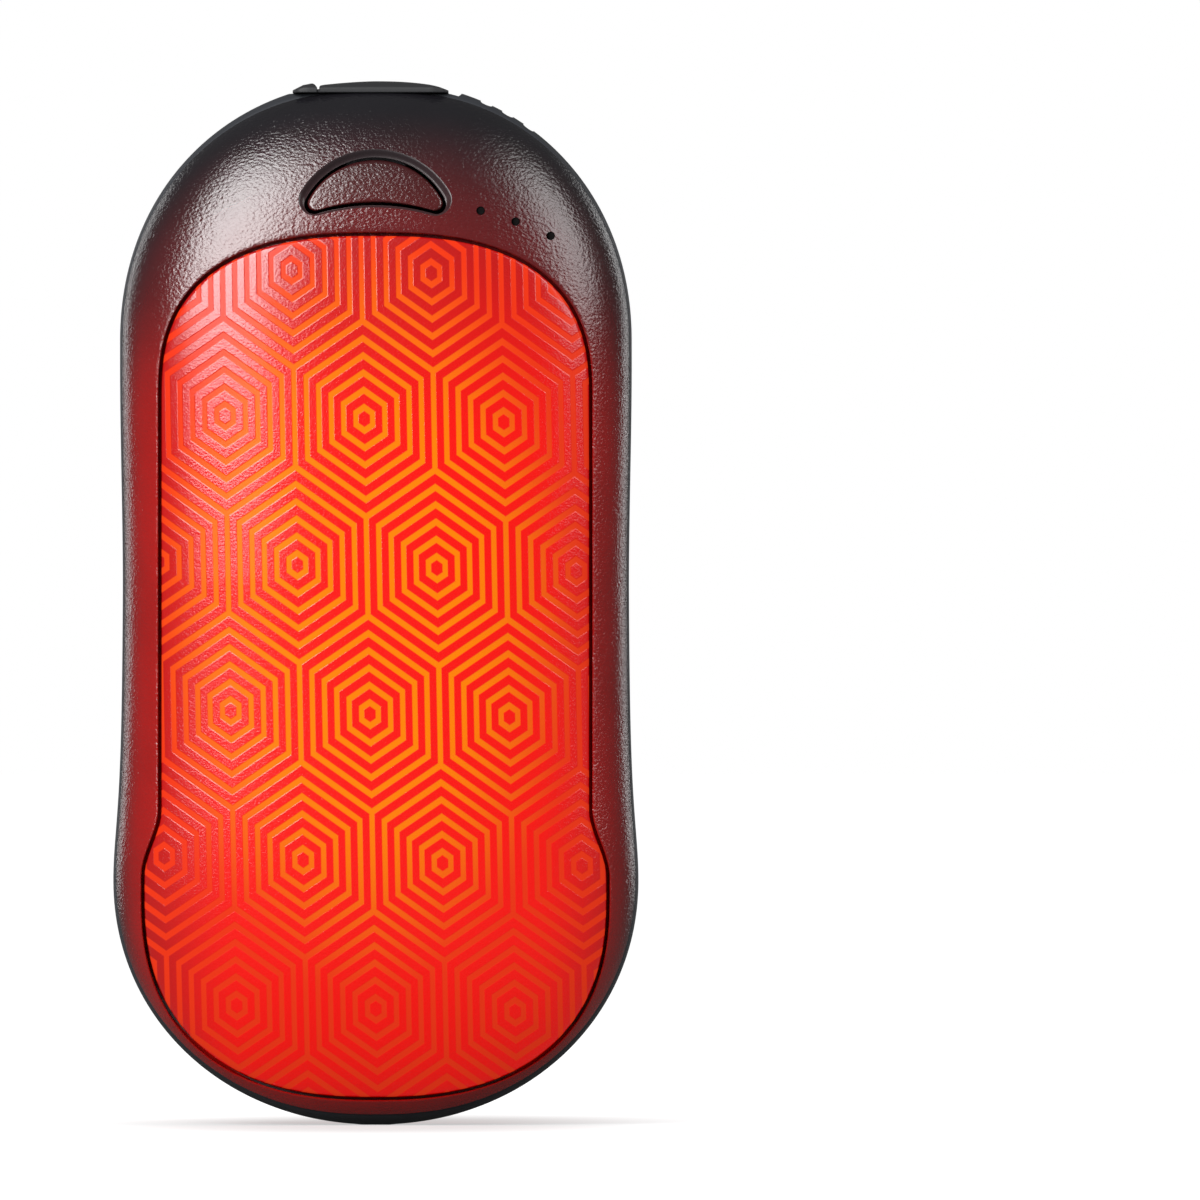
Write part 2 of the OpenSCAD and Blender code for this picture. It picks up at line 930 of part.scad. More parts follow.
module status_leds() {
    color([0.95, 0.95, 0.9])
        for (i = [0 : led_count - 1])
            translate([led_x(i) - led_w / 2, board_y - led_t, led_z(i) - led_h / 2])
                cube([led_w, led_t, led_h]);
}

module light_pipe() {
    bar_y = -pipe_bar_y;
    color([0.9, 0.92, 0.95]) {
        for (i = [0 : led_count - 1]) {
            outer_y = -face_y(led_x(i), led_z(i), prong_sink);
            inner_y = board_y - led_t - touch;
            translate([led_x(i), inner_y, led_z(i)])
                rotate([90, 0, 0])
                    cylinder(r = prong_r, h = inner_y - outer_y);
        }
        for (i = [0 : led_count - 2])
            hull()
                for (k = [i, i + 1])
                    translate([led_x(k), bar_y, led_z(k)])
                        rotate([90, 0, 0])
                            cylinder(r = pipe_bar_r, h = pipe_bar_t, $fn = 20);
    }
}

module charge_inductor() {
    color([0.3, 0.3, 0.33])
        translate([-inductor_x, 0, board_low_z + inductor_rise]) {
            along_y(board_y + board_t, board_y + board_t + inductor_h)
                square(inductor_w, center = true);
            along_y(board_y + board_t + inductor_h, board_y + board_t + inductor_h + inductor_core_h)
                circle(r = inductor_core_r);
        }
}

module board_chips() {
    color([0.08, 0.08, 0.09]) {
        for (side = [-1, 1])
            translate([side * chip_x, 0, board_low_z + chip_rise])
                along_y(board_y - chip_t, board_y)
                    square(chip_w, center = true);
        translate([chip_back_x, 0, board_low_z + chip_rise])
            along_y(board_y + board_t, board_y + board_t + chip_t)
                square([chip_w, chip_l], center = true);
    }
}

module lead_connectors() {
    color([0.92, 0.9, 0.84]) {
        translate([front_connector_x - connector_w / 2, 0, connector_z])
            along_y(board_y - connector_out, board_y)
                square([connector_w, connector_h]);
        for (x = [battery_connector_x, back_connector_x])
            translate([x - connector_w / 2, 0, connector_z])
                along_y(board_y + board_t, board_y + board_t + connector_out)
                    square([connector_w, connector_h]);
    }
}

// Pan-head screw along +Y, with its head's outer face at y = 0
module screw(head_r, head_h, shank_r, l) {
    rotate([-90, 0, 0]) {
        cylinder(r1 = head_r - head_h * screw_taper_share, r2 = head_r, h = head_h);
        translate([0, 0, head_h / 2])
            cylinder(r = shank_r, h = l + head_h / 2);
    }
}

module housing_screws() {
    color([0.7, 0.7, 0.72])
        for (place = screw_places)
            translate([place[0], head_y(place), place[1]])
                mirror([0, 1, 0])
                    screw(screw_head_r, screw_head_h, screw_shank_r, screw_l);
}

module board_screws() {
    color([0.7, 0.7, 0.72])
        for (side = [-1, 1])
            translate([side * board_screw_x, board_y - board_screw_head_h, board_screw_z])
                screw(board_screw_head_r, board_screw_head_h, board_screw_shank_r, board_screw_l);
}

// A thin slice of the port cover: flat below, upright edges and a crowned top
module cover_slice(x, w, edge_t, crown_t) {
    crown_steps = 6;
    translate([x, 0, land_z + land_gap])
        rotate([90, 0, 90])
            linear_extrude(flap_slice)
                polygon(concat(
                    [[w / 2, 0]],
                    [for (k = [0 : crown_steps]) let (u = 1 - 2 * k / crown_steps)
                        [u * w / 2, edge_t + (crown_t - edge_t) * (1 - u * u)]],
                    [[-w / 2, 0]]
                ));
}

module port_flap() {
    color([0.13, 0.12, 0.12]) {
        hull() {
            cover_slice(-flap_hinge_x + touch, flap_w, flap_edge_t, flap_hinge_t);
            cover_slice(-flap_hinge_x / 2, flap_w, flap_edge_t, flap_crown_t - touch - fit);
            cover_slice(0, flap_w, flap_edge_t, flap_crown_t);
            cover_slice(flap_tip_x / 2, flap_w, flap_edge_t, flap_crown_t - touch);
            cover_slice(flap_tip_x - flap_edge_t, flap_w - flap_edge_t, flap_edge_t, flap_tip_t + touch);
            cover_slice(flap_tip_x - flap_slice, flap_tip_w, flap_edge_t - fit, flap_tip_t);
        }
        translate([0, 0, land_z - plug_depth])
            linear_extrude(plug_depth + land_gap + flap_edge_t / 2)
                racetrack(plug_l, plug_t);
    }
}

module flap_anchor() {
    inner_x = -flap_hinge_x - anchor_gap;
    wall_z = inset_z(land_z, shell_wall) - barb_drop;
    color([0.13, 0.12, 0.12]) {
        hull() {
            cover_slice(-anchor_tip_x, anchor_tip_w, anchor_tip_t / 2, anchor_tip_t);
            cover_slice(-stem_x, flap_w - fit, flap_edge_t, anchor_t - fit);
            cover_slice((inner_x - stem_x) / 2, flap_w, flap_edge_t, anchor_t);
            cover_slice(inner_x, flap_w, flap_edge_t, anchor_step_t);
        }
        translate([-stem_x, 0, wall_z - barb_h]) {
            translate([0, 0, barb_h / 2])
                linear_extrude(land_z - wall_z + barb_h / 2 + flap_edge_t / 2)
                    square([stem_t, stem_l], center = true);
            linear_extrude(barb_h - fit)
                square([barb_t, barb_l], center = true);
        }
    }
}

// A lead of round section through a list of points
module lead(points, r) {
    for (k = [0 : len(points) - 2])
        hull()
            for (place = [points[k], points[k + 1]])
                translate(place)
                    sphere(r = r, $fn = 5);
}

// Inner face of a heating film, where its leads begin
film_y = face_y(0, film_top_z - film_margin, film_inset + film_t);

module thermistor() {
    bead_z = film_top_z - film_margin;
    bead_y = -film_y + bead_r + touch;
    color([0.1, 0.1, 0.1]) {
        translate([sensor_x, bead_y, bead_z])
            sphere(r = bead_r, $fn = 10);
        for (side = [-1, 1]) {
            x = sensor_x + side * sensor_half_step;
            pin_x = front_connector_x - sensor_pin_x + side * sensor_half_step;
            lead([
                [x, bead_y, bead_z],
                [x, -film_valley_y, bead_z + bend_rise],
                [x, -film_valley_y, cell_top_z + bend_rise],
                [pin_x, -connector_out / 2, connector_z - bend_rise],
                [pin_x, -connector_out / 4, connector_z - sensor_lead_r]
            ], sensor_lead_r);
        }
    }
}

module battery_leads() {
    rise_z = cell_top_z + bend_rise;
    pin_y = board_y + board_t + connector_out / 2;
    low_tab_z = cell_base_z - strip_t - lead_r;
    low_bend_z = cell_base_z - frame_plate_t - bend_rise;
    color([0.75, 0.08, 0.06]) {
        lead([
            [-strip_tab_x, strip_tab_y, cell_top_z + strip_t + lead_r],
            [-strip_tab_x, pin_y, rise_z],
            [battery_connector_x - lead_step / 2, pin_y, connector_z - bend_rise],
            [battery_connector_x - lead_step / 2, pin_y, connector_z - lead_r]
        ], lead_r);
        lead([
            [-strip_tab_x, strip_tab_y, low_tab_z],
            [-strip_tab_x, strip_tab_y, low_bend_z],
            [battery_lead_x, valley_y, low_bend_z],
            [battery_lead_x, valley_y, rise_z],
            [battery_connector_x + lead_step / 2, pin_y, connector_z - bend_rise / 2],
            [battery_connector_x + lead_step / 2, pin_y, connector_z - lead_r]
        ], lead_r);
    }
}

module heater_leads() {
    start_z = film_top_z - film_margin;
    rise_z = cell_top_z + bend_rise;
    color([0.85, 0.85, 0.88])
        for (k = [0, 1]) {
            x = heater_x + k * lead_step;
            front_pin_x = front_connector_x + heater_pin_x + k * lead_step;
            back_pin_x = back_connector_x - lead_step / 2 + k * lead_step;
            lead([
                [x, -film_y + heater_lead_r + touch, start_z],
                [x, -film_valley_y, start_z + bend_rise],
                [x, -film_valley_y, rise_z],
                [front_pin_x, -connector_out / 2, connector_z - bend_rise],
                [front_pin_x, -connector_out / 4, connector_z - heater_lead_r]
            ], heater_lead_r);
            lead([
                [x, film_y - heater_lead_r - touch, start_z],
                [x, film_valley_y, start_z + bend_rise],
                [x, film_valley_y, rise_z],
                [back_pin_x, board_y + board_t + connector_out / 2, connector_z - heater_lead_r]
            ], heater_lead_r);
        }
}

front_shell();
back_shell();
centre_band();
front_heat_panel();
back_heat_panel();
front_heating_film();
back_heating_film();
front_foam_pad();
back_foam_pad();
battery_cell_left();
battery_cell_right();
cell_frame_top();
cell_frame_bottom();
nickel_strip_top();
nickel_strip_bottom();
control_board();
usb_socket();
usb_tongue();
tact_switch();
switch_plunger();
button_cap();
status_leds();
light_pipe();
charge_inductor();
board_chips();
lead_connectors();
housing_screws();
board_screws();
port_flap();
flap_anchor();
thermistor();
battery_leads();
heater_leads();
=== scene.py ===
# %% [markdown]
# # A rechargeable hand warmer
# The object is a palm-sized case, 109 mm tall, that stands on its rounded end. Two moulded
# shells close over a grey centre band, a metal heat panel is let into each face, and a rubber
# cover closes the charging port at the top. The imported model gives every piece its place. It
# could be shown with new materials alone, but its faces are coarse, so this script gives each
# visible piece a finer mesh, made from the same curves, and a finish.

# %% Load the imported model
import json
import math

import bmesh
import bpy
import numpy as np
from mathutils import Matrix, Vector


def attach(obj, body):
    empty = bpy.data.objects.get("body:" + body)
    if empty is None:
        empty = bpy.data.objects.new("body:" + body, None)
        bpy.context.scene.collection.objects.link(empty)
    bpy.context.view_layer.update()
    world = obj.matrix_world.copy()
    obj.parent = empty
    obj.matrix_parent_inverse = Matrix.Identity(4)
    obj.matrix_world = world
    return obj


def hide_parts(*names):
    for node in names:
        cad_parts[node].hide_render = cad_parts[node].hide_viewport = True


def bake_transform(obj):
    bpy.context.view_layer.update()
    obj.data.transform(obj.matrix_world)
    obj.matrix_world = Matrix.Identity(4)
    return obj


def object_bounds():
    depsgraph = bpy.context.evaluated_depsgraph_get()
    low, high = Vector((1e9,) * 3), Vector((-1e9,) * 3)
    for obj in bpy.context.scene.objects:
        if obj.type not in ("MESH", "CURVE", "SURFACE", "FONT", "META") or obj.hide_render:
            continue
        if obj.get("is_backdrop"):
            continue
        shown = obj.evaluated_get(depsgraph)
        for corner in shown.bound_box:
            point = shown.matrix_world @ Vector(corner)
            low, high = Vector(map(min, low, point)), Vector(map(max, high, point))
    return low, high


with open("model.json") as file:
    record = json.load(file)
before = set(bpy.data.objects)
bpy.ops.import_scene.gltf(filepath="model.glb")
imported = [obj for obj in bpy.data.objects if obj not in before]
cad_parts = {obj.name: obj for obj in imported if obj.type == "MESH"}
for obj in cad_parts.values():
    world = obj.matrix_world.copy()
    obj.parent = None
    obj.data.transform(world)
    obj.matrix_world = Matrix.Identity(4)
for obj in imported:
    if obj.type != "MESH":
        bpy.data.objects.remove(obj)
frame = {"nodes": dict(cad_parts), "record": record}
cad_box = [list(corner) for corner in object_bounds()]
MM = 0.001
print("pieces in the packed model:", len(frame["nodes"]))
print("size in mm:", [round((high - low) / MM, 2) for low, high in zip(*cad_box)])

# %% [markdown]
# ## The camera
# The photograph looks straight at the front face, with the case left of the middle of the frame
# and almost no perspective, as a product shot through a long lens has. A camera without any
# perspective would also do, but a lens keeps a trace of depth at the edges. So the camera stands
# far back with a very long lens. It points along +Y, and its own place puts the case off centre.

# %% Set the camera
camera_distance = 3000 * MM
camera_offset_x = 23.45 * MM
camera_height = 54.9 * MM
camera_data = bpy.data.cameras.new("studio_camera")
camera_data.lens = 860
camera_data.sensor_width = 36
camera_data.clip_end = 20
camera = bpy.data.objects.new("studio_camera", camera_data)
camera.location = (camera_offset_x, -camera_distance, camera_height)
camera.rotation_euler = (math.radians(90), 0, 0)
bpy.context.scene.collection.objects.link(camera)
bpy.context.scene.camera = camera
bpy.context.scene.view_settings.view_transform = "Standard"
print("camera at", tuple(round(v, 4) for v in camera.location))

# %% [markdown]
# ## The form of the case
# A hand warmer like this is a lens with rounded ends: each cross-section is a superellipse, wide
# in X and thin in Y. It could be sculpted, or skinned over a few drawn sections. Here three small
# functions give its half width, its half depth, and from them the place of the face at any x and
# z. Every piece that follows the case asks them, so the pieces fit each other without nudging.

# %% Half width and half depth at a height
hip_w, waist_w, shoulder_w = 54.96, 52.8, 53.5
hip_z, waist_z, belly_z = 25.6, 55, 57
case_t, case_h, top_arc_h = 28.1, 109.25, 27.25
land_z, foot_flat = 107.9, 0.06
shoulder_z = case_h - top_arc_h
section_round, foot_round, crest_round = 2.35, 2.06, 2.1
hip_reach, shoulder_reach = 9, 25
low_swell, low_bend, low_round = 0.95, 1.452, 1.695
high_swell, high_bend, high_round = 0.679, 1.659, 1.69


def smooth_rise(t):
    t = np.clip(t, 0, 1)
    return t * t * (3 - 2 * t)


def arc_fall(u, power):
    return np.maximum(0, 1 - np.maximum(0, u) ** power) ** (1 / power)


def half_width(z):
    z = np.maximum(z, foot_flat)
    side = (
        waist_w / 2
        + (hip_w - waist_w) / 2 / (1 + (np.maximum(0, z - hip_z) / hip_reach) ** 2)
        + (shoulder_w - waist_w) / 2 * smooth_rise((z - waist_z) / shoulder_reach)
    )
    foot = arc_fall((hip_z - z) / hip_z, foot_round)
    crest = arc_fall((z - shoulder_z) / top_arc_h, crest_round)
    return side * np.where(z < hip_z, foot, crest)


def half_depth(z):
    z = np.maximum(z, foot_flat)
    low = np.clip((belly_z - z) / belly_z, 0, 1)
    high = np.clip((z - belly_z) / (case_h - belly_z), 0, 1)
    low_share = (1 + low_swell * low**2) * (1 - low**low_bend) ** (1 / low_round)
    high_share = (1 + high_swell * high**2) * (1 - high**high_bend) ** (1 / high_round)
    return case_t / 2 * np.where(z < belly_z, low_share, high_share)


print("half width and depth at the belly:", half_width(belly_z), half_depth(belly_z))

# %% Depth of the face, drawn in by a wall thickness


def outer_height(z, inset):
    return (z - inset) * case_h / (case_h - 2 * inset)


def face_depth(x, z, inset=0.0):
    z = outer_height(np.asarray(z, float), inset)
    width = np.maximum(half_width(z) - inset, 1e-6)
    return (half_depth(z) - inset) * arc_fall(np.abs(x) / width, section_round)


band_middle_t, band_end_t = 4.7, 6.2


def band_half(z):
    return (band_middle_t + (band_end_t - band_middle_t) * ((z - belly_z) / belly_z) ** 2) / 2


belly_depth = float(face_depth(0, belly_z))
print("face at the middle of the front:", round(belly_depth, 2), "mm from the middle plane")

# %% [markdown]
# ## Closed curves round the case
# Each shell, the band and each panel run round the same middle point, like the rings of a tree.
# They could be cut from one solid, but a cut mesh with loose triangles shows in the highlights of
# such a smooth case. A ring is held as one radius for each direction from the middle point. Two
# rings made this way match point for point, so they can be joined with clean four-sided faces.

# %% Directions round the middle point
ring_middle_z, ring_count = 50.0, 400
seam_gap = 0.1
curve_count, land_count = 4000, 60


def half_curve_to_radius(x, z, directions):
    """Radius of a mirrored curve in each direction, from the points of its right half."""
    angle = np.arctan2(x, ring_middle_z - z)
    order = np.argsort(angle)
    radius = np.hypot(x, z - ring_middle_z)
    wanted = np.pi - np.abs(np.pi - directions)
    return np.interp(wanted, angle[order], radius[order])


def level_curve(beyond, inset=0.0):
    """Right half of the curve where the case face lies a distance beyond the centre band."""
    top = land_z - inset
    z = inset + (top - inset) * (1 - np.cos(np.linspace(0, np.pi, curve_count))) / 2
    depth = half_depth(outer_height(z, inset)) - inset
    level = band_half(z) + beyond
    kept = depth > level
    z, depth, level = z[kept], depth[kept], level[kept]
    width = half_width(outer_height(z, inset)) - inset
    x = width * arc_fall(level / depth, section_round)
    land = np.linspace(x[-1], 0, land_count)
    return np.r_[0, x, land], np.r_[z[0], z, np.full(land_count, z[-1])]


crest_x, crest_z = level_curve(seam_gap)
steps = np.r_[0, np.cumsum(np.hypot(np.diff(crest_x), np.diff(crest_z)))]
even = np.linspace(0, steps[-1], ring_count // 2 + 1)
right_side = np.arctan2(
    np.interp(even, steps, crest_x), ring_middle_z - np.interp(even, steps, crest_z)
)
directions = np.r_[right_side, 2 * np.pi - right_side[-2:0:-1]]
print("directions round the case:", len(directions))

# %% Outline of the heat panel, moved out or in by a distance
panel_half_w, panel_hip_half_w, panel_hip_top_z, panel_hip_rise = 22.3, 24.1, 33, 7
panel_low_z, panel_high_z = 24, 76
panel_foot_h, panel_crest_h = 21, 16.85
panel_foot_round, panel_crest_round = 2.45, 2.6


def panel_side(z):
    widening = smooth_rise((panel_hip_top_z - z) / panel_hip_rise)
    return panel_half_w + (panel_hip_half_w - panel_half_w) * widening


def panel_radius(out=0.0):
    a = np.linspace(0, np.pi / 2, 160)
    foot_x = panel_hip_half_w * np.sin(a) ** (2 / panel_foot_round)
    foot_z = panel_low_z - panel_foot_h * np.cos(a) ** (2 / panel_foot_round)
    side_z = np.linspace(panel_low_z + 0.2, panel_high_z - 0.2, 200)
    top_x = panel_half_w * np.cos(a) ** (2 / panel_crest_round)
    top_z = panel_high_z + panel_crest_h * np.sin(a) ** (2 / panel_crest_round)
    x, z = np.r_[foot_x, panel_side(side_z), top_x], np.r_[foot_z, side_z, top_z]
    run_x, run_z = np.gradient(x), np.gradient(z)
    length = np.hypot(run_x, run_z)
    x, z = x + out * run_z / length, z - out * run_x / length
    kept = x >= 0
    return half_curve_to_radius(np.r_[0, x[kept], 0], np.r_[z[0], z[kept], z[-1]], directions)


def window_radius(out=-2.4, low_z=14.0, top_z=81.5):
    up = -np.cos(directions)
    limit = np.where(up > 0, top_z - ring_middle_z, ring_middle_z - low_z)
    return np.minimum(panel_radius(out), limit / np.maximum(np.abs(up), 1e-6))


def ring_at(radius, y):
    """Points of a ring, from a radius and a depth for each direction."""
    x = radius * np.sin(directions)
    z = ring_middle_z - radius * np.cos(directions)
    return np.stack([x, np.broadcast_to(y, x.shape), z], axis=1)


def ring_on_face(radius, inset=0.0, least=None):
    """A ring laid on the front face, sunk by an inset but kept clear of the seam."""
    x = radius * np.sin(directions)
    z = ring_middle_z - radius * np.cos(directions)
    depth = face_depth(x, z, inset)
    if least is not None:
        depth = np.maximum(depth, band_half(z) + least)
    return ring_at(radius, -depth)


print("panel outline from", round(ring_middle_z - panel_radius()[0], 2), "mm up from the foot")

# %% [markdown]
# ## From rings to a mesh
# One helper joins a list of rings with faces. The list can close on itself, like a tyre, which
# gives a solid wall with a hole through it, or it can end in a point at both ends. Blender's
# bridge tool does the same by hand, but it has to guess which points belong together. Edges that
# turn sharply are marked, and the rest is shaded smooth.

# %% Join rings into a piece


def piece_from_rings(name, rings, loop=False):
    rings = [np.asarray(r, float) for r in rings]
    count = len(rings[0])
    points = list(np.concatenate(rings) * MM)
    around = np.arange(count)
    after = (around + 1) % count
    faces = []
    for k in range(len(rings) if loop else len(rings) - 1):
        a, b = k * count, (k + 1) % len(rings) * count
        faces += np.stack([a + around, a + after, b + after, b + around], axis=1).tolist()
    if not loop:
        points += [rings[0].mean(0) * MM, rings[-1].mean(0) * MM]
        first, last, top = len(points) - 2, len(points) - 1, (len(rings) - 1) * count
        faces += [[first, int(j), int(i)] for i, j in zip(around, after)]
        faces += [[last, int(top + i), int(top + j)] for i, j in zip(around, after)]
    mesh = bpy.data.meshes.new(name)
    mesh.from_pydata([tuple(p) for p in points], [], faces)
    made = bpy.data.objects.new(name, mesh)
    bpy.context.scene.collection.objects.link(made)
    clean_mesh(mesh)
    return made


def clean_mesh(mesh, sharp_degrees=35):
    work = bmesh.new()
    work.from_mesh(mesh)
    bmesh.ops.remove_doubles(work, verts=work.verts, dist=1e-7)
    bmesh.ops.dissolve_degenerate(work, edges=work.edges, dist=1e-8)
    bmesh.ops.recalc_face_normals(work, faces=work.faces)
    work.to_mesh(mesh)
    work.free()
    mesh.shade_smooth()
    mesh.set_sharp_from_angle(angle=math.radians(sharp_degrees))


def cut_away(piece, cutters):
    """Takes the cutters out of a piece with the Manifold solver, then deletes them."""
    for cutter in cutters:
        step = piece.modifiers.new("cut", "BOOLEAN")
        step.operation, step.solver, step.object = "DIFFERENCE", "MANIFOLD", cutter
    bpy.context.view_layer.update()
    shaped = piece.evaluated_get(bpy.context.evaluated_depsgraph_get())
    mesh = bpy.data.meshes.new_from_object(shaped)
    piece.modifiers.clear()
    piece.data = mesh
    for cutter in cutters:
        bpy.data.objects.remove(cutter)
    clean_mesh(mesh)


def prism(outline, origin, across, up, along, low, high, name="cutter"):
    """A straight bar whose section is an outline of (u, v) pairs, from low to high."""
    origin, across, up, along = (np.asarray(v, float) for v in (origin, across, up, along))
    section = np.asarray([origin + u * across + v * up for u, v in outline])
    return piece_from_rings(name, [section + low * along, section + high * along])


print("helpers ready")

# %% [markdown]
# ## The half-moon outline
# The button is a half-moon: a round top edge, and a lower edge that bows up. Its corners are
# rounded with a small circle that touches both edges. It could be drawn as a curve with handles,
# but the hole in the shell and the dished rim are the same outline moved out a little, so it is
# made as a function of two distances.

# %% Outline of the button


def half_moon(top_out=0.0, low_out=0.0):
    top_middle, low_middle = 92.9, 74.55
    top_r, low_r, corner = 7.9 + top_out, 21.8 - low_out, 0.8 + 0.8 * top_out
    to_top, to_low = top_r - corner, low_r + corner
    apart = top_middle - low_middle
    z = (to_low**2 - to_top**2 + apart**2) / (2 * apart)
    x = math.sqrt(to_low**2 - z**2)
    low_turn = math.atan2(x, z)
    top_turn = math.atan2(x, z - apart)
    a = np.linspace(-low_turn, low_turn, 60)
    low = np.stack([low_r * np.sin(a), low_middle + low_r * np.cos(a)], axis=1)
    a = np.linspace(low_turn + math.pi, top_turn, 16)[1:-1]
    right = np.stack([x + corner * np.sin(a), low_middle + z + corner * np.cos(a)], axis=1)
    a = np.linspace(top_turn, -top_turn, 120)
    top = np.stack([top_r * np.sin(a), top_middle + top_r * np.cos(a)], axis=1)
    left = right[::-1] * [-1, 1]
    return np.concatenate([low, right, top, left])


outline = half_moon()
print("button outline:", len(outline), "points,", round(float(np.ptp(outline[:, 0])), 2), "mm wide")

# %% [markdown]
# ## The two shells
# Each shell is a wall 2.4 mm thick with a tray in it for the heat panel. It could be a thin
# surface that a modifier makes thick, but then the tray would need cuts. As a list of rings the
# whole wall is one piece: from the seam over the outer face to the lip of the panel's groove, down
# into the tray, through the window behind the panel, and back along the inside. The front shell
# then has the button's opening and three small light holes cut through it.

# %% Rings of a shell
shell_wall, tray_depth, panel_groove, lip_r, seam_edge = 2.4, 1.1, 0.35, 0.22, 0.14
tray_least = seam_gap + 0.3
face_ring_count, face_ring_crowd = 56, 1.7


def shell_rings():
    seam_out = half_curve_to_radius(*level_curve(seam_gap + seam_edge), directions)
    seam_in = half_curve_to_radius(*level_curve(seam_gap), directions)
    core = half_curve_to_radius(*level_curve(seam_gap, shell_wall), directions)
    x, z = seam_in * np.sin(directions), ring_middle_z - seam_in * np.cos(directions)
    lip = panel_radius(panel_groove + lip_r)
    rings = [ring_at(core, -band_half(ring_middle_z - core * np.cos(directions)) - seam_gap)]
    rings += [ring_at(seam_in - seam_edge, -band_half(z) - seam_gap)]
    for share in 1 - (1 - np.linspace(0, 1, face_ring_count)) ** face_ring_crowd:
        rings.append(ring_on_face(lip + (seam_out - lip) * share))
    rings[2:] = rings[:1:-1]
    for turn in (0.35, 0.7, 1.0):
        drop = lip_r * (1 - math.cos(turn * math.pi / 2))
        away = lip_r * (1 - math.sin(turn * math.pi / 2))
        rings.append(ring_on_face(panel_radius(panel_groove + away), drop))
    groove, window = panel_radius(panel_groove), window_radius()
    rings.append(ring_on_face(groove, tray_depth, least=tray_least))
    for share in (0.25, 0.5, 0.75, 1.0):
        radius = groove + (window - groove) * share
        rings.append(ring_on_face(radius, tray_depth, least=tray_least))
    for share in (0.0, 0.3, 0.6, 0.8, 0.95):
        radius = window + (core - window) * share
        rings.append(ring_on_face(radius, shell_wall, least=seam_gap))
    return rings


print("rings in a shell:", len(shell_rings()))

# %% Front shell, with its openings
front_shell_skin = piece_from_rings("front_shell_skin", shell_rings(), loop=True)
x_axis, y_axis, z_axis = np.eye(3)
rim_w, button_gap, foot_rim_w = 1.15, 0.3, 0.22
circle_turns = np.linspace(0, 2 * math.pi, 28, endpoint=False)
light_first_x, light_step, light_drop, light_arc_r, light_hole_r = 11, 3.65, 11, 43.85, 0.45


def light_place(k):
    x = light_first_x + light_step * k
    return x, land_z - light_drop - light_arc_r + math.sqrt(light_arc_r**2 - x**2)


def circle(radius):
    return np.stack([radius * np.cos(circle_turns), radius * np.sin(circle_turns)], axis=1)


cut_from_y, cut_to_y = -20, 0
openings = [(half_moon(rim_w, button_gap + foot_rim_w), (0, 0))]
openings += [(circle(light_hole_r), light_place(k)) for k in range(3)]
openings = [
    prism(outline, (x, 0, z), x_axis, z_axis, y_axis, cut_from_y, cut_to_y)
    for outline, (x, z) in openings
]
cut_away(front_shell_skin, openings)
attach(front_shell_skin, "housing")
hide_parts("front_shell")
print("front shell faces:", len(front_shell_skin.data.polygons))

# %% Back shell
mirrored = [ring * [1, -1, 1] for ring in shell_rings()]
back_shell_skin = piece_from_rings("back_shell_skin", mirrored, loop=True)
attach(back_shell_skin, "housing")
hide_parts("back_shell")
print("back shell faces:", len(back_shell_skin.data.polygons))

# %% [markdown]
# ## The dished rim and the button
# Round the button the shell dips in a smooth, polished channel that is wide over the top and
# fades out below. Moulded in one with the shell, it would need its own fine mesh there, so it is
# a closed strip of its own: it starts on the face of the case and curves down to the gap. The
# button is a cap whose face follows the case, a little sunk, with a rounded edge.

# %% Dished rim round the button


def at_depth(outline, y):
    return np.stack([outline[:, 0], np.full(len(outline), y), outline[:, 1]], axis=1)


def on_case(outline, sink):
    return at_depth(outline, sink - face_depth(outline[:, 0], outline[:, 1]))


rim_outer = half_moon(rim_w, button_gap + foot_rim_w)
rim_inner = half_moon(button_gap, button_gap)
rim_dish, rim_foot_y = 0.62, -6.2
rim_depth = rim_dish * np.hypot(*(rim_outer - rim_inner).T)
rim_rings = []
for share in np.linspace(0, 1, 15):
    dip = rim_depth * (0.08 * share + 0.92 * np.sin(share * math.pi / 2) ** 1.6)
    rim_rings.append(on_case(rim_outer + (rim_inner - rim_outer) * share, dip))
for outline in (rim_inner, rim_outer):
    rim_rings.append(at_depth(outline, rim_foot_y))
button_rim = piece_from_rings("button_rim", rim_rings, loop=True)
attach(button_rim, "housing")
print("rim depth:", round(float(rim_depth.max()), 2), "mm")

# %% Button cap
button_sink, cap_edge, cap_foot_y = 0.3, 0.4, -6.0
cap_outline = half_moon()
cap_middle = np.array([0, 98.4])


def cap_inward(inward):
    """The button's outline, drawn in towards its middle by a distance."""
    reach = np.hypot(*(cap_outline - cap_middle).T)[:, None]
    return cap_outline + (cap_middle - cap_outline) * inward / reach


cap_rings = [at_depth(cap_outline, cap_foot_y)]
for turn in np.linspace(0, 1, 7)[:-1] * math.pi / 2:
    sunk = button_sink + cap_edge * (1 - math.sin(turn))
    cap_rings.append(on_case(cap_inward(cap_edge * (1 - math.cos(turn))), sunk))
cap_face = cap_inward(cap_edge)
for share in np.linspace(0, 0.97, 22):
    cap_rings.append(on_case(cap_face + (cap_middle - cap_face) * share, button_sink))
button_face = piece_from_rings("button_face", cap_rings)
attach(button_face, "power_button")
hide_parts("button_cap")
print("button cap faces:", len(button_face.data.polygons))

# %% [markdown]
# ## The centre band
# The band is a hoop between the shells. Its outer face follows the case, and at the top it is
# flat, which makes a land for the port cover. A swept section could make a hoop, but this one
# changes its thickness on the way, so it is made from rings as well. A tongue on each flank
# reaches into the shell, so that no light passes through the seam.

# %% Centre band
band_edge, tongue_inset, tongue_l = 0.12, 1.2, 0.6


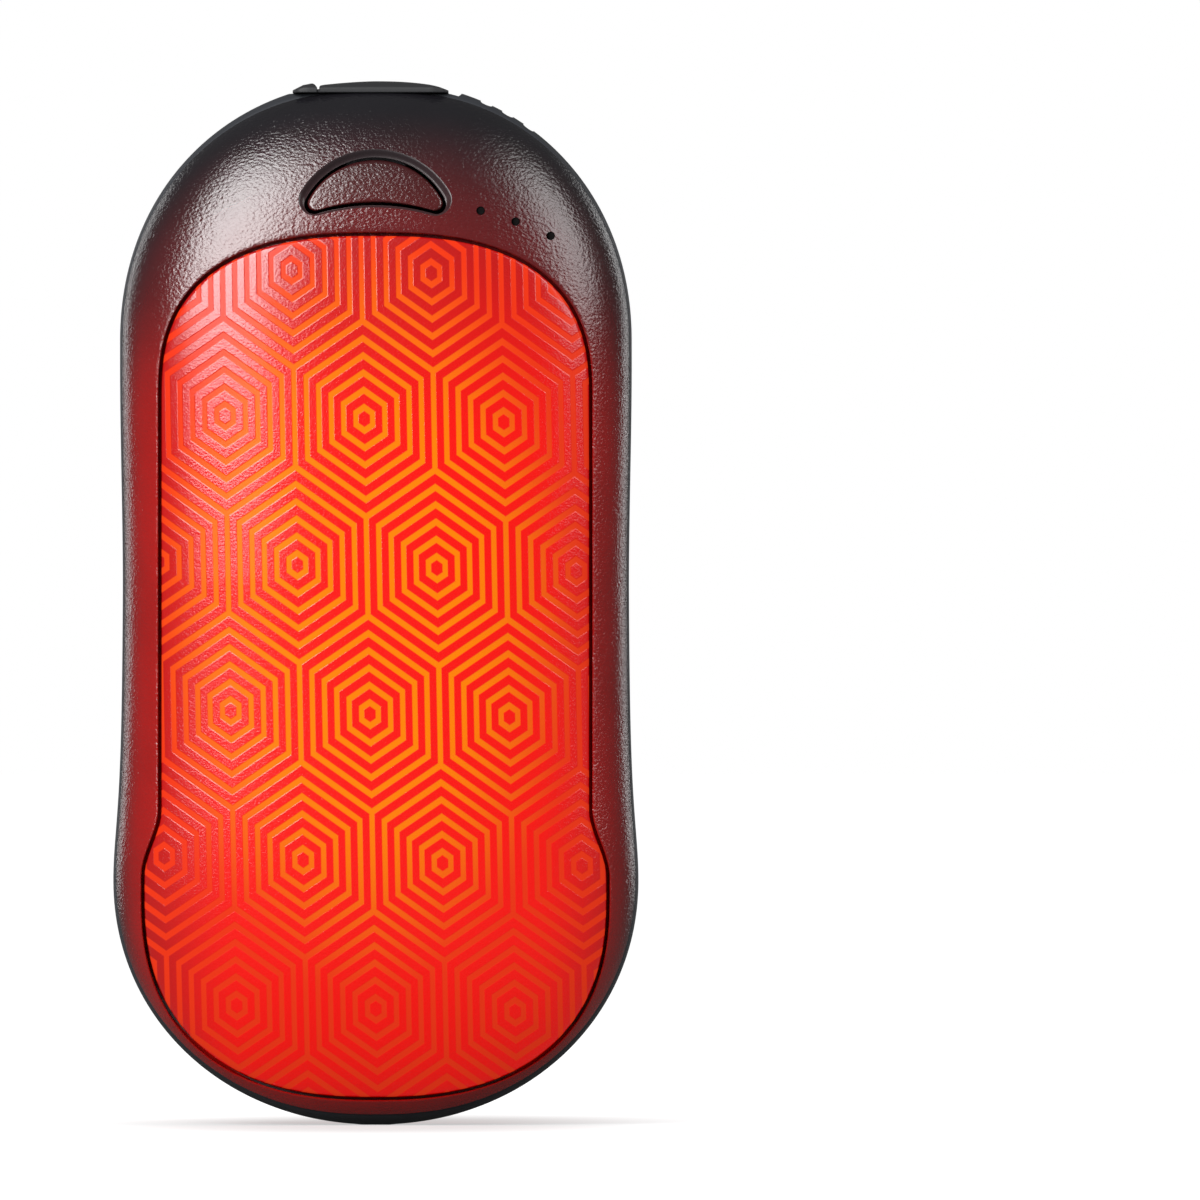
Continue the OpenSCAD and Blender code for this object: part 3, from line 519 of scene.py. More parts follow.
def band_ring(share, inset=0.0, draw_in=0.0):
    """Ring of the band at a share of its half thickness, drawn in towards its middle."""
    z = land_z * (1 - np.cos(np.linspace(0, np.pi, curve_count))) / 2
    level = abs(share) * band_half(z)
    depth = half_depth(z)
    kept = depth > level
    z, level, depth = z[kept], level[kept], depth[kept]
    x = half_width(z) * arc_fall(level / depth, section_round)
    land = np.linspace(x[-1], 0, land_count)
    x, z = np.r_[0, x, land], np.r_[z[0], z, np.full(land_count, z[-1])]
    radius = half_curve_to_radius(x, z, directions) - inset
    height = ring_middle_z - radius * np.cos(directions)
    return ring_at(radius, share * band_half(height) - math.copysign(1, share) * draw_in)


def band_flank(side):
    """Rings of one flank, from the tongue that closes the seam inside to the outer face."""
    steps = [(shell_wall, -tongue_l), (tongue_inset, -tongue_l)]
    steps += [(tongue_inset, 0), (band_edge, 0), (0, band_edge)]
    return [band_ring(side, inset, draw_in) for inset, draw_in in steps]


band_rings = band_flank(-1) + [band_ring(share) for share in np.linspace(-0.9, 0.9, 15)]
band_rings += band_flank(1)[::-1]
centre_band_skin = piece_from_rings("centre_band_skin", band_rings, loop=True)
print("band faces before cutting:", len(centre_band_skin.data.polygons))

# %% [markdown]
# ## Openings in the band
# The vents, the port, the slot that holds the cover's stem and a small dip for a fingernail go
# through or into the band. They could be drawn as dark patches, but a slot without depth looks
# wrong from the side. So each is a straight bar that is cut away from the band.

# %% Vents, port, stem slot and nail dip


def racetrack(length, width, turns=14):
    a = np.linspace(-math.pi / 2, math.pi / 2, turns)
    end = np.stack([(length - width) / 2 + width / 2 * np.cos(a), width / 2 * np.sin(a)], axis=1)
    return np.concatenate([end, -end])


def shoulder_top(x):
    return shoulder_z + top_arc_h * float(arc_fall(abs(x) / (shoulder_w / 2), crest_round))


cutters = []
vent_l, vent_w, vent_first_x, vent_step, vent_ends = 3.8, 1.3, 11.6, 2.2, (-4.8, 1)
for k in range(3):
    x = vent_first_x + vent_step * k
    fall = (shoulder_top(x) - shoulder_top(x + vent_w)) / vent_w
    run = np.array([1, 0, -fall]) / math.hypot(1, fall)
    out = np.array([fall, 0, 1]) / math.hypot(1, fall)
    place = (x, 0, shoulder_top(x))
    cutters.append(prism(racetrack(vent_l, vent_w), place, y_axis, run, out, *vent_ends))
cut_floor_z, cut_top_z = 100.25, 112
port_l, port_w, stem_x, stem_half_l, stem_half_w, stem_room = 9.3, 3.62, -7.3, 0.55, 1.7, 0.12


def stem_outline(room=0.0):
    """Four corners of the cover's stem, with room round it for its slot."""
    u, v = stem_half_l + room, stem_half_w + room
    return [(-u, -v), (u, -v), (u, v), (-u, v)]


cutters += [
    prism(outline, (x, 0, 0), x_axis, y_axis, z_axis, cut_floor_z, cut_top_z)
    for outline, x in ((racetrack(port_l, port_w), 0), (stem_outline(stem_room), stem_x))
]
nail_r, nail_half_w, nail_place = 0.8, 2.3, (8.3, 0, 108.3)
cutters.append(prism(circle(nail_r), nail_place, x_axis, z_axis, y_axis, -nail_half_w, nail_half_w))
cut_away(centre_band_skin, cutters)
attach(centre_band_skin, "housing")
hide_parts("centre_band")
print("band faces after cutting:", len(centre_band_skin.data.polygons))

# %% [markdown]
# ## The heat panels
# A panel is a thin pressed plate that lies flush in the shell's tray, with a narrow groove round
# it and a rounded edge. Rings run from its underside over the edge to the middle of its face. The
# lines on it could be raised in the mesh, but the pattern is so fine and so regular that its
# material draws it.

# %% Front and back heat panels
panel_edge, panel_t, panel_least, panel_foot_out = 0.28, 1.0, 0.35, -0.02


def panel_rings():
    foot = panel_radius(panel_foot_out)
    shares = (0.05, 0.3, 0.6, 0.85, 1.0)
    rings = [ring_on_face(foot * share, panel_t, least=panel_least) for share in shares]
    for turn in np.linspace(0, 1, 6)[:-1] * math.pi / 2:
        sunk, inward = panel_edge * (1 - math.sin(turn)), panel_edge * (1 - math.cos(turn))
        rings.append(ring_on_face(panel_radius(-inward), sunk))
    face = panel_radius(-panel_edge)
    return rings + [ring_on_face(face * share) for share in np.linspace(1, 0.01, 80)]


for side, name in ((1, "front"), (-1, "back")):
    panel = piece_from_rings(name + "_panel_skin", [ring * [1, side, 1] for ring in panel_rings()])
    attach(panel, "housing")
    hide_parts(name + "_heat_panel")
    print(panel.name, "faces:", len(panel.data.polygons))

# %% [markdown]
# ## The port cover
# The cover is one rubber moulding: a pad that is anchored in the band, a thin web that bends,
# and a crowned flap with a plug under it. A box with rounded edges would be quicker, but the real
# flap is crowned and thins out at its tip. So it is made as sections along X, like slices of
# bread, that share one function.

# %% Sections of the rubber cover
flap_floor_z = land_z + 0.04
section_count, section_power = 25, 0.75
section_foot_in, section_foot_h = 0.1, 0.08
section_turns = np.linspace(0, math.pi, section_count)


def cover_section(x, width, edge_t, crown_t, corner=0.22):
    """A slice across the cover: flat below, with upright edges and a crowned top."""
    half = width / 2
    turned = np.cos(section_turns)
    across = -half * np.sign(turned) * np.abs(turned) ** section_power
    u = across / half
    side = np.minimum(1, (1 - np.abs(u)) * half / corner)
    top = edge_t - corner * (1 - np.sqrt(1 - (1 - side) ** 2)) + (crown_t - edge_t) * (1 - u**2)
    upper = np.stack([np.full(section_count, x), across, flap_floor_z + top], axis=1)
    lower = upper[::-1].copy()
    lower[:, 1] *= 1 - section_foot_in / half
    lower[:, 2] = flap_floor_z
    foot = lower[[0, -1]] + [0, 0, section_foot_h]
    foot[:, 1] = [half, -half]
    return np.concatenate([upper, foot[:1], lower, foot[1:]])


def rounded_end(x_from, x_to, width, end_width, count=9):
    """Widths that round off towards an end, with their places."""
    a = np.linspace(0, math.pi / 2, count)
    return zip(x_from + (x_to - x_from) * np.sin(a), end_width + (width - end_width) * np.cos(a))


flap_w, flap_edge_t, flap_crown_t, tip_corner = 7.7, 0.6, 1.25, 0.16
flap_start_x, flap_tip_x, flap_tip_l, flap_tip_w = 5.9, 7.59, 1.69, 4.6
flap_sections = [cover_section(-5.9, 7.5, 0.5, 0.68), cover_section(-5.8, flap_w, 0.58, 0.8)]
for x in np.linspace(-5.4, 5.6, 22):
    towards_pad, towards_tip = max(0, -x / flap_start_x), max(0, x / flap_start_x)
    crown = flap_crown_t - 0.42 * towards_pad**1.6 - 0.4 * towards_tip**2.4
    flap_sections.append(cover_section(x, flap_w, flap_edge_t, crown))
for x, width in rounded_end(flap_start_x, flap_tip_x, flap_w, flap_tip_w):
    fade = (x - flap_start_x) / flap_tip_l
    edge_t, crown = flap_edge_t - 0.4 * fade**1.6, 0.83 - 0.55 * fade**1.3
    flap_sections.append(cover_section(x, width, edge_t, crown, tip_corner))
port_cover_skin = piece_from_rings("port_cover_skin", flap_sections)
print("flap sections:", len(flap_sections))

# %% Plug under the cover
plug_l, plug_w = 7.7, 2.1
plug_steps = ((0.3, 0), (-0.85, 0), (-1.0, 0.06), (-1.07, 0.18), (-1.1, 0.35))
plug_rings = []
for rise, inward in plug_steps:
    ring = racetrack(plug_l - 2 * inward, plug_w - 2 * inward)
    plug_rings.append(np.stack([ring[:, 0], ring[:, 1], np.full(len(ring), land_z + rise)], axis=1))
port_plug = piece_from_rings("port_plug", plug_rings)
for piece in (port_cover_skin, port_plug):
    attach(piece, "port_cover")
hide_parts("port_flap")
print("plug reaches", -plug_steps[-1][0], "mm into the port")

# %% [markdown]
# ## The pad, its stem and the web
# The pad stays on the band, held by a stem that is pressed into its slot. Between pad and flap the rubber
# is thin and bends when the cover opens. A hinge line would leave a wedge open there, so the web is a
# strip of its own.

# %% Anchor pad and bending web
pad_start_x, pad_tip_x, pad_tip_l, pad_w, pad_end_w, pad_tip_w = -7.6, -8.69, 1.09, 7.6, 7.4, 4.4
pad_edge_t = 0.58
pad_crowns = ((-7.2, 0.93), (-6.9, 1.0), (-6.65, 1.02), (-6.45, 0.95), (-6.3, 0.8), (-6.18, 0.64))
anchor_sections = []
for x, width in reversed(list(rounded_end(pad_start_x, pad_tip_x, pad_end_w, pad_tip_w))):
    fade = (-x + pad_start_x) / pad_tip_l
    edge_t, crown = 0.55 - 0.35 * fade, 0.86 - 0.56 * fade
    anchor_sections.append(cover_section(x, width, edge_t, crown, tip_corner))
for x, crown in pad_crowns:
    anchor_sections.append(cover_section(x, pad_w, pad_edge_t, crown))
cover_anchor_skin = piece_from_rings("cover_anchor_skin", anchor_sections)
stem_ends = (104, 108.2)
anchor_stem = prism(stem_outline(), (stem_x, 0, 0), x_axis, y_axis, z_axis, *stem_ends, "anchor_stem")
for piece in (cover_anchor_skin, anchor_stem):
    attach(piece, "housing")
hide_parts("flap_anchor")
web_w, web_edge_t, web_crown_t, web_corner = 7.0, 0.3, 0.42, 0.1
web_sections = [
    cover_section(x, web_w, web_edge_t, web_crown_t, web_corner) for x in np.linspace(-6.4, -5.5, 19)
]
cover_web = piece_from_rings("cover_web", web_sections)
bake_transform(cover_web)

# %% [markdown]
# ## Finishes
# Every finish is a node material, worked out from the piece's own coordinates in millimetres.
# Painted images could do the same, but these finishes stay sharp at any distance. A small helper
# adds a node and fills its sockets, so that each finish below reads like a recipe. Constant
# numbers go straight onto the shader's sockets.

# %% Helpers for the finishes


def new_finish(name, **sockets):
    finish = bpy.data.materials.new(name)
    finish.use_nodes = True
    tree = finish.node_tree
    shader = next(n for n in tree.nodes if n.type == "BSDF_PRINCIPLED")
    for socket, value in sockets.items():
        shader.inputs[socket.replace("_", " ")].default_value = value
    return finish, tree, shader


def add(tree, kind, values=None, **settings):
    node = tree.nodes.new("ShaderNode" + kind)
    for key, value in settings.items():
        setattr(node, key, value)
    for key, value in (values or {}).items():
        if isinstance(value, bpy.types.NodeSocket):
            tree.links.new(value, node.inputs[key])
        else:
            node.inputs[key].default_value = value
    return node


def calc(tree, operation, *values):
    return add(tree, "Math", dict(enumerate(values)), operation=operation).outputs[0]


def finish_with(tree, shader, bump, **values):
    """Links worked-out values, and the bump's normal, to the shader's sockets."""
    values["Normal"] = bump.outputs[0]
    for socket, value in values.items():
        tree.links.new(value, shader.inputs[socket.replace("_", " ")])


def soft_step(tree, value, low, high):
    """0 below low, 1 above high, and a smooth rise between; low may be the larger."""
    node = add(tree, "MapRange", {"Value": value, "From Min": low, "From Max": high},
               interpolation_type="SMOOTHSTEP")
    return node.outputs["Result"]


def blend_colours(tree, share, first, second):
    node = add(tree, "Mix", {0: share}, data_type="RGBA")
    for socket, value in ((node.inputs[6], first), (node.inputs[7], second)):
        if isinstance(value, bpy.types.NodeSocket):
            tree.links.new(value, socket)
        else:
            socket.default_value = (*value, 1)
    return node.outputs[2]


def places_in_mm(tree):
    """The piece's own coordinates in millimetres: the vector, x, y and z."""
    coords = add(tree, "TexCoord").outputs["Object"]
    scaled = add(tree, "VectorMath", {0: coords, "Scale": 1000.0}, operation="SCALE").outputs[0]
    parts = add(tree, "SeparateXYZ", {0: scaled})
    return scaled, parts.outputs[0], parts.outputs[1], parts.outputs[2]


print("finish helpers ready")

# %% [markdown]
# ## Moulded grain and painted glow
# The front shell and the button have a fine grain: shallow pebbles a third of a millimetre across, drawn
# out sideways. Real relief that fine would need millions of faces, so rounded cells and a finer noise
# drive a bump. A red glow of the panels is painted over the shells as painted light: it is strongest by
# the panel, fades to charcoal towards the band and the crest, and spreads wider near the foot.

# %% Grain and painted red glow


def pebble_height(tree, places, size=0.32):
    stretch = (0.85, 1.0, 1.15)
    stretched = add(tree, "VectorMath", {0: places, 1: stretch}, operation="MULTIPLY").outputs[0]
    pebbles = add(tree, "TexVoronoi", {"Vector": stretched, "Scale": 1 / size, "Randomness": 1.0},
                  feature="SMOOTH_F1").outputs["Distance"]
    streaks = add(tree, "TexNoise", {"Vector": stretched, "Scale": 1.6 / size, "Detail": 2.0,
                                     "Roughness": 0.6, "Distortion": 0.3}).outputs["Fac"]
    return calc(tree, "ADD", calc(tree, "MULTIPLY", pebbles, 0.7), calc(tree, "MULTIPLY", streaks, 0.6))


plate_half_w, plate_half_h, plate_corner, plate_middle_z = 22.8, 45.1, 19.0, 48.2


def panel_distance(tree, x, z):
    """Distance in mm outside a round-cornered plate the size of the panel, for the painted glow."""
    out_x = calc(tree, "SUBTRACT", calc(tree, "ABSOLUTE", x), plate_half_w - plate_corner)
    middle = calc(tree, "ABSOLUTE", calc(tree, "SUBTRACT", z, plate_middle_z))
    out_z = calc(tree, "SUBTRACT", middle, plate_half_h - plate_corner)
    out_x, out_z = calc(tree, "MAXIMUM", out_x, 0.0), calc(tree, "MAXIMUM", out_z, 0.0)
    square = calc(tree, "MULTIPLY_ADD", out_x, out_x, calc(tree, "MULTIPLY", out_z, out_z))
    return calc(tree, "SUBTRACT", calc(tree, "SQRT", square), plate_corner)


# Painted light: a red glow of the panels is painted onto the shells, the button and the rim.
glow_reach, glow_crest_z, glow_foot_z = (14.0, -1.0), (70.0, 90.0), (24.0, 3.0)
glow_power, crest_glow_loss, foot_glow_gain = 1.3, 0.68, 4.5


def painted_glow_share(tree, x, y, z, start, full):
    """Share of painted red glow on the shell: most by the panel, least by the band and on the crest."""
    away = panel_distance(tree, x, z)
    by_panel = calc(tree, "POWER", soft_step(tree, away, *glow_reach), glow_power)
    crest = calc(tree, "MULTIPLY_ADD", soft_step(tree, z, *glow_crest_z), -crest_glow_loss, 1.0)
    by_panel = calc(tree, "MULTIPLY", by_panel, crest)
    by_foot = calc(tree, "MULTIPLY", soft_step(tree, z, *glow_foot_z), foot_glow_gain)
    from_band = calc(tree, "ADD", calc(tree, "ABSOLUTE", y), by_foot)
    return calc(tree, "MULTIPLY", by_panel, soft_step(tree, from_band, start, full))


def grained_finish(name, cool, painted_glow_colour, start, full, grain, roughness):
    finish, tree, shader = new_finish(name, Specular_IOR_Level=0.8)
    places, x, y, z = places_in_mm(tree)
    height = pebble_height(tree, places)
    tone = add(tree, "TexNoise", {"Vector": places, "Scale": 0.12, "Detail": 2.0}).outputs["Fac"]
    # The painted red glow is blended over the piece's own colour.
    colour = blend_colours(tree, painted_glow_share(tree, x, y, z, start, full), cool, painted_glow_colour)
    darker = add(tree, "HueSaturation", {"Color": colour, "Value": 0.9}).outputs[0]
    colour = blend_colours(tree, soft_step(tree, tone, 0.35, 0.65), colour, darker)
    rough = calc(tree, "ADD", calc(tree, "MULTIPLY", height, 0.12), roughness)
    bump = add(tree, "Bump", {"Height": height, "Strength": grain, "Distance": 0.00006})
    finish_with(tree, shader, bump, Base_Color=colour, Roughness=rough)
    return finish


# The first colour is the piece's own colour, the second its painted red glow.
shell_grain = grained_finish(
    "shell_grain", (0.0085, 0.008, 0.01), (0.32, 0.006, 0.005), 1.8, 7.2, grain=1.0, roughness=0.1
)
button_grain = grained_finish(
    "button_grain", (0.01, 0.006, 0.007), (0.24, 0.009, 0.008), 2.5, 8.5, grain=0.9, roughness=0.12
)
print("grained finishes:", shell_grain.name, button_grain.name)

# %% [markdown]
# ## Smooth mouldings
# The back shell, the band, the rim and the rubber have no grain, only a faint haze that keeps their
# highlights from looking like glass. One function makes them all, since they differ only in colour,
# roughness and how far the painted red glow reaches.

# %% Smooth finishes


def satin_finish(name, cool, painted_glow_colour, start, full, roughness):
    finish, tree, shader = new_finish(name, Specular_IOR_Level=0.45)
    places, x, y, z = places_in_mm(tree)
    haze = add(tree, "TexNoise", {"Vector": places, "Scale": 2.2, "Detail": 3.0}).outputs["Fac"]
    colour = blend_colours(tree, painted_glow_share(tree, x, y, z, start, full), cool, painted_glow_colour)
    rough = calc(tree, "ADD", calc(tree, "MULTIPLY", haze, 0.1), roughness)
    bump = add(tree, "Bump", {"Height": haze, "Strength": 0.08, "Distance": 0.00008})
    finish_with(tree, shader, bump, Base_Color=colour, Roughness=rough)
    return finish


# The second colour is the painted red glow; the band and the rubber get none.
back_satin = satin_finish("back_satin", (0.042, 0.041, 0.052), (0.22, 0.006, 0.006), 5.5, 10, 0.42)
band_satin = satin_finish("band_satin", (0.024, 0.026, 0.031), (0.024, 0.026, 0.031), 5.5, 10, 0.5)
rim_polish = satin_finish("rim_polish", (0.015, 0.013, 0.015), (0.08, 0.011, 0.01), 2.5, 8.5, 0.26)
rubber = satin_finish("cover_rubber", (0.016, 0.0165, 0.0185), (0.016, 0.0165, 0.0185), 5.5, 10, 0.55)
print("smooth finishes:", back_satin.name, band_satin.name, rim_polish.name, rubber.name)

# %% [markdown]
# ## The pattern of the heat panels
# The panel shows nested hexagons with points at top and bottom, in rows that are offset like
# bricks. For any point the nearest hexagon is found by folding the plane twice, once for the even
# rows and once for the odd ones. The size of the hexagon through the point, as a share of the
# whole one, then says how far the point is from the nearest line. A drawn image could carry the
# lines too, but these have no pixels and run on under the edge of the shell.

# %% Distance to the nearest hexagon line
hexagon_half_w, hexagon_row, hexagon_rise = 7.26, 15.365, 0.695
hexagon_half_h = (hexagon_row + hexagon_rise * hexagon_half_w) / 2
hexagon_x, hexagon_z, lean_x, lean_z = 0.31, 73.74, 0.0192, 0.0224
first_line, line_step = 0.119, 0.1762


def hexagon_share(tree, x, z, offset_x, offset_z):
    """Size of the hexagon through a point, for the rows that start at an offset."""
    x = calc(tree, "WRAP", calc(tree, "ADD", x, offset_x), hexagon_half_w, -hexagon_half_w)
    z = calc(tree, "WRAP", calc(tree, "ADD", z, offset_z), hexagon_row, -hexagon_row)
    x, z = calc(tree, "ABSOLUTE", x), calc(tree, "ABSOLUTE", z)
    across = calc(tree, "DIVIDE", x, hexagon_half_w)
    slant = calc(tree, "DIVIDE", calc(tree, "MULTIPLY_ADD", x, hexagon_rise, z), hexagon_half_h)
    return calc(tree, "MAXIMUM", across, slant)


def line_distance(tree, x, z):
    """0 on a line of the pattern and 0.5 halfway between two lines."""
    x, z = (
        calc(tree, "MULTIPLY_ADD", z, lean_x, calc(tree, "SUBTRACT", x, hexagon_x)),
        calc(tree, "MULTIPLY_ADD", x, lean_z, calc(tree, "SUBTRACT", z, hexagon_z)),
    )
    even = hexagon_share(tree, x, z, 0.0, 0.0)
    odd = hexagon_share(tree, x, z, hexagon_half_w, hexagon_row)
    share = calc(tree, "MINIMUM", even, odd)
    place = calc(tree, "DIVIDE", calc(tree, "SUBTRACT", share, first_line), line_step)
    return calc(tree, "PINGPONG", place, 0.5)


print("hexagons are", 2 * hexagon_half_w, "mm wide")

# %% [markdown]
# ## The panel's metal and painted glow
# The panel is grained red metal under a clear lacquer, with satin lines; the red ground and the lines are
# its own print. A painted glow makes it brightest, and its lines orange, near the middle, and dimmer
# towards the sides, the top and the foot. Half of its colour is painted and the rest is given off as
# light, so it glows from every side though it is no lamp. Lamps alone would leave its back dull. The
# lacquer is a coat that is nearly absent on the lines, so the sheen stays on the ground between them.

# %% Heat panel finish, with painted glow
# Painted glow: the glowing colours fill the middle of the panel, the edge colours its sides, top and
# foot.
red_glowing, red_edge = (0.78, 0.0025, 0.0001), (0.37, 0.004, 0.003)
line_glowing, line_edge = (0.78, 0.18, 0.001), (0.68, 0.03, 0.006)
painted_share, glow = 0.5, 0.68
line_sides, glow_middle_x = (0.26, 0.16), 1.5
dim_sides_x, dim_top_z, dim_foot_z = (27.0, 15.0), (97.0, 70.0), (-9.0, 6.0)
# The emission is painted glow: the panel gives off light though it is no lamp.
panel_glow, tree, shader = new_finish(
    "panel_glow", Specular_IOR_Level=0.05, Coat_Roughness=0.2, Coat_IOR=1.6, Emission_Strength=glow
)
places, x, y, z = places_in_mm(tree)
line = soft_step(tree, line_distance(tree, x, z), *line_sides)
aside = calc(tree, "ABSOLUTE", calc(tree, "SUBTRACT", x, glow_middle_x))
side_fade = soft_step(tree, aside, *dim_sides_x)
top_fade, foot_fade = soft_step(tree, z, *dim_top_z), soft_step(tree, z, *dim_foot_z)
end_fade = calc(tree, "MULTIPLY", top_fade, foot_fade)
panel_glow_share = calc(tree, "MULTIPLY", side_fade, end_fade)
from_brightest = [
    calc(tree, "POWER", calc(tree, "DIVIDE", calc(tree, "SUBTRACT", place, middle), reach), 2.0)
    for place, middle, reach in ((x, -1.0, 21.0), (z, 54.0, 37.0))
]
line_glow_share = soft_step(tree, calc(tree, "ADD", *from_brightest), 1.25, 0.15)
ground = blend_colours(tree, panel_glow_share, red_edge, red_glowing)
stripe = blend_colours(tree, line_glow_share, line_edge, line_glowing)
colour = blend_colours(tree, line, ground, stripe)
grain_height = pebble_height(tree, places, 0.22)
flat_grain = calc(tree, "MULTIPLY", grain_height, calc(tree, "SUBTRACT", 1.0, line))
height = calc(tree, "MULTIPLY_ADD", line, -0.15, flat_grain)
rough = calc(tree, "MULTIPLY_ADD", flat_grain, 0.12, 0.4)
lacquer = calc(tree, "MULTIPLY_ADD", line, -0.8, 1.0)
bump = add(tree, "Bump", {"Height": height, "Strength": 0.8, "Distance": 0.00003})
painted = add(tree, "HueSaturation", {"Color": colour, "Value": painted_share}).outputs[0]
finish_with(tree, shader, bump, Base_Color=painted, Roughness=rough, Coat_Weight=lacquer,
            Coat_Normal=bump.outputs[0], Emission_Color=colour)
print("panel finish nodes:", len(tree.nodes))

# %% [markdown]
# ## Finishes of the inner parts
# The parts inside show only through the port and the vents, but each still has the finish of
# the real one: a shrink sleeve on the cells, foam, plated steel, solder mask on the board. They
# could be left plain. One function with two near shades, a roughness and a relief is enough to
# tell them apart when the case is taken apart.

# %% Inner finishes


def speckled_finish(name, light, dark, scale, roughness, metallic=0.0, relief=0.2, shine=0.5):
    finish, tree, shader = new_finish(name, Metallic=metallic, Specular_IOR_Level=shine)
    places = places_in_mm(tree)[0]
    speckle = add(tree, "TexNoise", {"Vector": places, "Scale": scale, "Detail": 3.0}).outputs["Fac"]
    colour = blend_colours(tree, soft_step(tree, speckle, 0.3, 0.7), dark, light)
    rough = calc(tree, "ADD", calc(tree, "MULTIPLY", speckle, 0.15), roughness)
    bump = add(tree, "Bump", {"Height": speckle, "Strength": relief, "Distance": 0.0001})
    finish_with(tree, shader, bump, Base_Color=colour, Roughness=rough)
    return finish


inner_finishes = {
    "film": speckled_finish("amber_film", (0.6, 0.28, 0.06), (0.45, 0.18, 0.03), 0.8, 0.25),
    "foam": speckled_finish("foam", (0.14, 0.14, 0.15), (0.07, 0.07, 0.08), 4.0, 0.85, relief=0.9),
    "cell_wrap": speckled_finish("shrink_sleeve", (0.05, 0.24, 0.45), (0.04, 0.19, 0.38), 0.5, 0.22),
    "frame_plastic": speckled_finish("frame_plastic", (0.32, 0.33, 0.35), (0.26, 0.27, 0.29), 2.0, 0.5),
    "nickel": speckled_finish("nickel_plate", (0.65, 0.63, 0.58), (0.52, 0.5, 0.46), 1.5, 0.25, 1.0),
    "board": speckled_finish("solder_mask", (0.012, 0.13, 0.05), (0.008, 0.09, 0.035), 1.2, 0.3),
    "socket_steel": speckled_finish("socket_steel", (0.62, 0.62, 0.64), (0.5, 0.5, 0.52), 3.0, 0.22, 1.0),
    "black_plastic": speckled_finish(
        "black_plastic", (0.022, 0.022, 0.024), (0.015, 0.015, 0.016), 3.0, 0.4
    ),
    "white_plastic": speckled_finish("white_plastic", (0.8, 0.78, 0.72), (0.72, 0.7, 0.64), 2.0, 0.45),
    "led": speckled_finish("light_lens", (0.85, 0.85, 0.8), (0.7, 0.7, 0.66), 2.0, 0.2),
    "clear_plastic": speckled_finish(
        "smoked_pipe", (0.003, 0.002, 0.002), (0.001, 0.001, 0.001), 2.0, 0.5, shine=0.1
    ),
    "ferrite": speckled_finish("ferrite", (0.07, 0.07, 0.08), (0.04, 0.04, 0.045), 3.0, 0.6),
    "screw_steel": speckled_finish("zinc_plate", (0.58, 0.58, 0.6), (0.46, 0.46, 0.48), 2.0, 0.3, 1.0),
    "red_wire": speckled_finish("red_silicone", (0.5, 0.02, 0.02), (0.4, 0.015, 0.015), 1.0, 0.5),
    "white_wire": speckled_finish("white_silicone", (0.75, 0.75, 0.75), (0.66, 0.66, 0.66), 1.0, 0.5),
    "button": button_grain,
}
print("inner finishes:", len(inner_finishes))

# %% [markdown]
# ## Give every piece its finish
# The pieces made here are listed by name, since each has one finish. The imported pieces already
# say which material slot they are in, so they get their finish from that. A list by name would
# work for them too, but it would have to be kept up by hand.

# %% Set the finishes
skin_finishes = {
    "front_shell_skin": shell_grain, "back_shell_skin": back_satin, "centre_band_skin": band_satin,
    "button_rim": rim_polish, "button_face": button_grain, "front_panel_skin": panel_glow,
    "back_panel_skin": panel_glow, "port_cover_skin": rubber, "port_plug": rubber,
    "cover_anchor_skin": rubber, "anchor_stem": rubber, "cover_web": rubber,
}
for name, finish in skin_finishes.items():
    data = bpy.data.objects[name].data
    data.materials.clear()
    data.materials.append(finish)
slot_of = {part["node"]: part["material_slot"] for part in frame["record"]["subparts"]}
for name, part in frame["nodes"].items():
    if slot_of[name] in inner_finishes:
        part.data.materials.clear()
        part.data.materials.append(inner_finishes[slot_of[name]])
print("finished pieces:", len(skin_finishes) + len(frame["nodes"]))

# %% [markdown]
# ## Floor and backdrop
# The photograph is a cut-out on white, with only a faint shadow under the foot of the case. The floor is
# a wide pale plane that looks white away from the case, with a soft painted shadow that darkens it a
# little near the case. A curved backdrop would be the studio's way, but the world behind the floor is
# already white.

# %% Floor and world


def background_seen(tree, plain, in_gloss):
    """How bright the background is: fully where it is looked at, less where it is reflected."""
    path = add(tree, "LightPath").outputs
    looked_at = calc(tree, "MAXIMUM", path["Is Camera Ray"], path["Is Transmission Ray"])
    reflected = calc(tree, "MULTIPLY", path["Is Glossy Ray"], in_gloss)
    return calc(tree, "MAXIMUM", calc(tree, "MULTIPLY", looked_at, plain), reflected)


floor_half = 6
floor_corners = [(u * floor_half, v * floor_half, 0) for u, v in ((-1, -1), (1, -1), (1, 1), (-1, 1))]
floor_data = bpy.data.meshes.new("floor")
floor_data.from_pydata(floor_corners, [], [(0, 1, 2, 3)])
floor = bpy.data.objects.new("floor", floor_data)
bpy.context.scene.collection.objects.link(floor)
floor.location.z = cad_box[0][2]
ambient, gloss_level, floor_level, floor_grey, floor_grey_in_gloss = 0.06, 0.06, 0.52, 0.25, 0.05
floor_white, tree, shader = new_finish(
    "floor_white", Roughness=0.9, Specular_IOR_Level=0.0, Emission_Color=(1, 1, 1, 1)
)
seen = background_seen(tree, floor_level, gloss_level)
in_gloss = add(tree, "LightPath").outputs["Is Glossy Ray"]
grey = calc(tree, "MULTIPLY_ADD", in_gloss, floor_grey_in_gloss - floor_grey, floor_grey)
tree.links.new(grey, shader.inputs["Base Color"])
x, y = places_in_mm(tree)[1:3]
aside = calc(tree, "MULTIPLY", x, 2.0)
away = calc(tree, "SQRT", calc(tree, "MULTIPLY_ADD", aside, aside, calc(tree, "MULTIPLY", y, y)))
